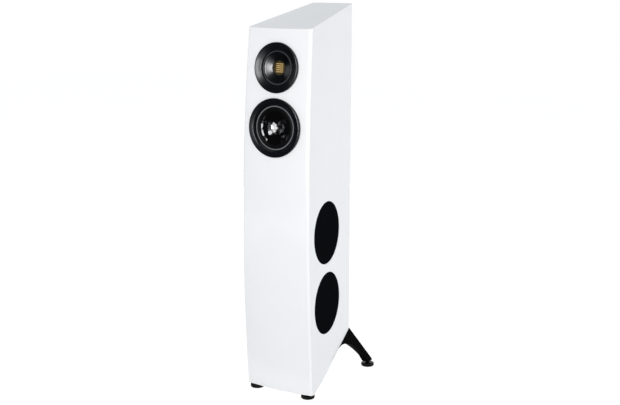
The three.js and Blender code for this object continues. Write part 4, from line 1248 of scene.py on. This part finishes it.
# The rear legs: black cast fins under the cabinet's slope, each arched below and leaning out to its tip,
# where a block takes the foot's stem.
LEG_WIDTH = 0.022
LEG_BLOCK_REACH = 0.013
LEG_BLOCK_BOTTOM = 0.0165
LEG_ROOT_LENGTH = 0.0879
LEG_ARCH = (0.0289, 0.0044)
LEG_ARCH_END = (0.022, 0.0215)
LEG_ARCH_STEPS = 16
LEG_TIP = (0.0083, 0.013, 0.0051)
REAR_FOOT_AXIS = (0.1156, 0.376)

foot_spread, foot_depth = REAR_FOOT_AXIS
tip_reach, tip_beyond, tip_height = LEG_TIP
leg_root = BOTTOM_DEPTH - LEG_ROOT_LENGTH
leg_black = grained(
    "leg_black", (0.001, 0.001, 0.0012), (0.002, 0.002, 0.0023), 0.6, 0.12, 900, 0.00004,
    Specular_IOR_Level=0.01)


def under_cabinet(depth):
    return underside_at(depth, -SEAM)


def leg_outline():
    """The leg's side view, as (depth, height) from its root along the arch to the block, the tip and up."""
    arch_depth = BOTTOM_DEPTH - LEG_ARCH[0]
    start = Vector((leg_root, under_cabinet(leg_root)))
    bend = Vector((arch_depth, underside_at(arch_depth) - LEG_ARCH[1]))
    end = Vector((foot_depth - LEG_ARCH_END[0], LEG_BLOCK_BOTTOM + LEG_ARCH_END[1]))
    shares = [i / LEG_ARCH_STEPS for i in range(LEG_ARCH_STEPS + 1)]
    return [
        *[start.lerp(bend, share).lerp(bend.lerp(end, share), share) for share in shares],
        (foot_depth - LEG_BLOCK_REACH, LEG_BLOCK_BOTTOM),
        (foot_depth + tip_beyond, LEG_BLOCK_BOTTOM),
        (foot_depth + tip_beyond, LEG_BLOCK_BOTTOM + tip_height),
        (BOTTOM_DEPTH, under_cabinet(BOTTOM_DEPTH)),
    ]


def pulled_outline(name, outline, width):
    """A flat outline of (depth, height) points, pulled sideways by a width into a solid."""
    count = len(outline)
    piece = start_piece(name, bpy.ops.mesh.primitive_circle_add, vertices=count, radius=1, fill_type="NGON")
    for vertex in piece.data.vertices:
        vertex.co = (0, *outline[place_around(vertex, count)])
    with editing(piece):
        bpy.ops.mesh.extrude_region_move(TRANSFORM_OT_translate={"value": (width, 0, 0)})
        bpy.ops.mesh.select_all(action="SELECT")
        bpy.ops.mesh.normals_make_consistent(inside=False)
    return piece


def leg_lean(side):
    """The shear that leans the upright fin until its outer face holds the root, the corner and the tip."""
    corner, root = [Vector((half_width_at(depth, under_cabinet(depth)), depth, under_cabinet(depth)))
                    for depth in (BOTTOM_DEPTH, leg_root)]
    tip = Vector((foot_spread + tip_reach, foot_depth + tip_beyond, LEG_BLOCK_BOTTOM + tip_height))
    normal = (corner - root).cross(tip - root)
    lean = Matrix.Identity(4)
    lean[0][1] = -side * normal.y / normal.x
    lean[0][2] = -side * normal.z / normal.x
    lean[0][3] = side * corner.dot(normal) / normal.x
    return lean


for side_name, side in SIDES.items():
    leg = pulled_outline(f"cast_leg_{side_name}", leg_outline(), -side * LEG_WIDTH)
    leg.data.transform(leg_lean(side))
    cut_out(leg, stem_cut(Matrix.Translation((side * foot_spread, foot_depth, 0)), LEG_BLOCK_BOTTOM))
    settle(leg, Matrix.Translation((0, front_edge_y, 0)))
    finish(leg, leg_black, "cabinet", f"rear_leg_{side_name}")


# The feet: turned discs with rounded edges under a collar, on threaded stems that set their height.
# They are blackened all over.
FOOT_RADIUS = 0.0211
FOOT_THICKNESS = 0.01
FOOT_ROUND = 0.0032
FOOT_COLLAR = 0.007
FOOT_STEPS = 64

foot_black = turned_finish(
    "foot_black", (0.002, 0.002, 0.0022), (0.004, 0.004, 0.0045), 0.16, 0.05, 0.00001,
    Specular_IOR_Level=0.1)


def foot_profile(seat):
    rim = FOOT_RADIUS - FOOT_ROUND
    neck = FOOT_COLLAR + FOOT_ROUND / 3
    return [
        (0, 0), (rim, 0),
        *arc((rim, FOOT_ROUND), FOOT_ROUND, 270, 360)[1:],
        *arc((rim, FOOT_THICKNESS - FOOT_ROUND), FOOT_ROUND, 0, 90),
        (neck, FOOT_THICKNESS), (FOOT_COLLAR, FOOT_THICKNESS + FOOT_ROUND / 3),
        (FOOT_COLLAR, seat - SEAM), (FOOT_STEM_RADIUS, seat - SEAM),
        (FOOT_STEM_RADIUS, seat + FOOT_STEM_LENGTH), (0, seat + FOOT_STEM_LENGTH),
    ]


FOOT_PLACES = {"front": (FRONT_FOOT_AXIS, FRONT_BOTTOM), "rear": (REAR_FOOT_AXIS, LEG_BLOCK_BOTTOM)}
for row, ((spread, depth), seat) in FOOT_PLACES.items():
    for side_name, side in SIDES.items():
        place = Matrix.Translation((side * spread, depth + front_edge_y, 0))
        foot = turned(f"turned_foot_{row}_{side_name}", foot_profile(seat), place, FOOT_STEPS)
        body = f"{row}_foot_{side_name}"
        finish(foot, foot_black, body, body)


# Inside: the shelf and the window brace in raw fibreboard, cast baskets, ferrite magnets and the board.
# They keep their shapes from the frame.
fibreboard = grained("fibreboard", (0.2, 0.12, 0.06), (0.34, 0.22, 0.12), 0.85, 0.1, 1600, 0.0001)
black_casting = grained(
    "black_casting", (0.006, 0.006, 0.006), (0.012, 0.012, 0.012), 0.5, 0.12, 1200, 0.00005,
    Specular_IOR_Level=0.4)
ferrite = grained("ferrite", (0.02, 0.02, 0.022), (0.045, 0.045, 0.048), 0.6, 0.15, 700, 0.00005)
circuit = grained("circuit", (0.008, 0.045, 0.018), (0.015, 0.075, 0.03), 0.5, 0.1, 500, 0.00003)
INSIDE = {"chamber_shelf": fibreboard, "window_brace": fibreboard, "crossover_board": circuit,
          "tweeter_magnet": ferrite}
for driver in ["midrange"] + [f"woofer_{level}_{side}" for level in WOOFER_PLACES for side in SIDES]:
    INSIDE[f"{driver}_basket"] = black_casting
    INSIDE[f"{driver}_magnet"] = ferrite
for name, material in INSIDE.items():
    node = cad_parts[name]
    node.data.materials.clear()
    node.data.materials.append(material)


# The wadding in the midrange's chamber: a slab of loose white fleece against the back.
# Its corners have gone soft.
FLEECE_CUTS = 12
FLEECE_SOFTENING = 4
low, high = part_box("chamber_wadding")
fleece = block("fleece_wadding", tuple(high - low), Matrix.Translation((low + high) / 2))
with editing(fleece):
    bpy.ops.mesh.subdivide(number_cuts=FLEECE_CUTS)
    bpy.ops.mesh.vertices_smooth(factor=0.5, repeat=FLEECE_SOFTENING)
white_fleece = grained("white_fleece", (0.55, 0.54, 0.5), (0.75, 0.74, 0.7), 0.95, 0.05, 500, 0.0006,
                       Sheen_Weight=0.2)
finish(fleece, white_fleece, "cabinet", "chamber_wadding", slot="wadding", smooth_below=60)
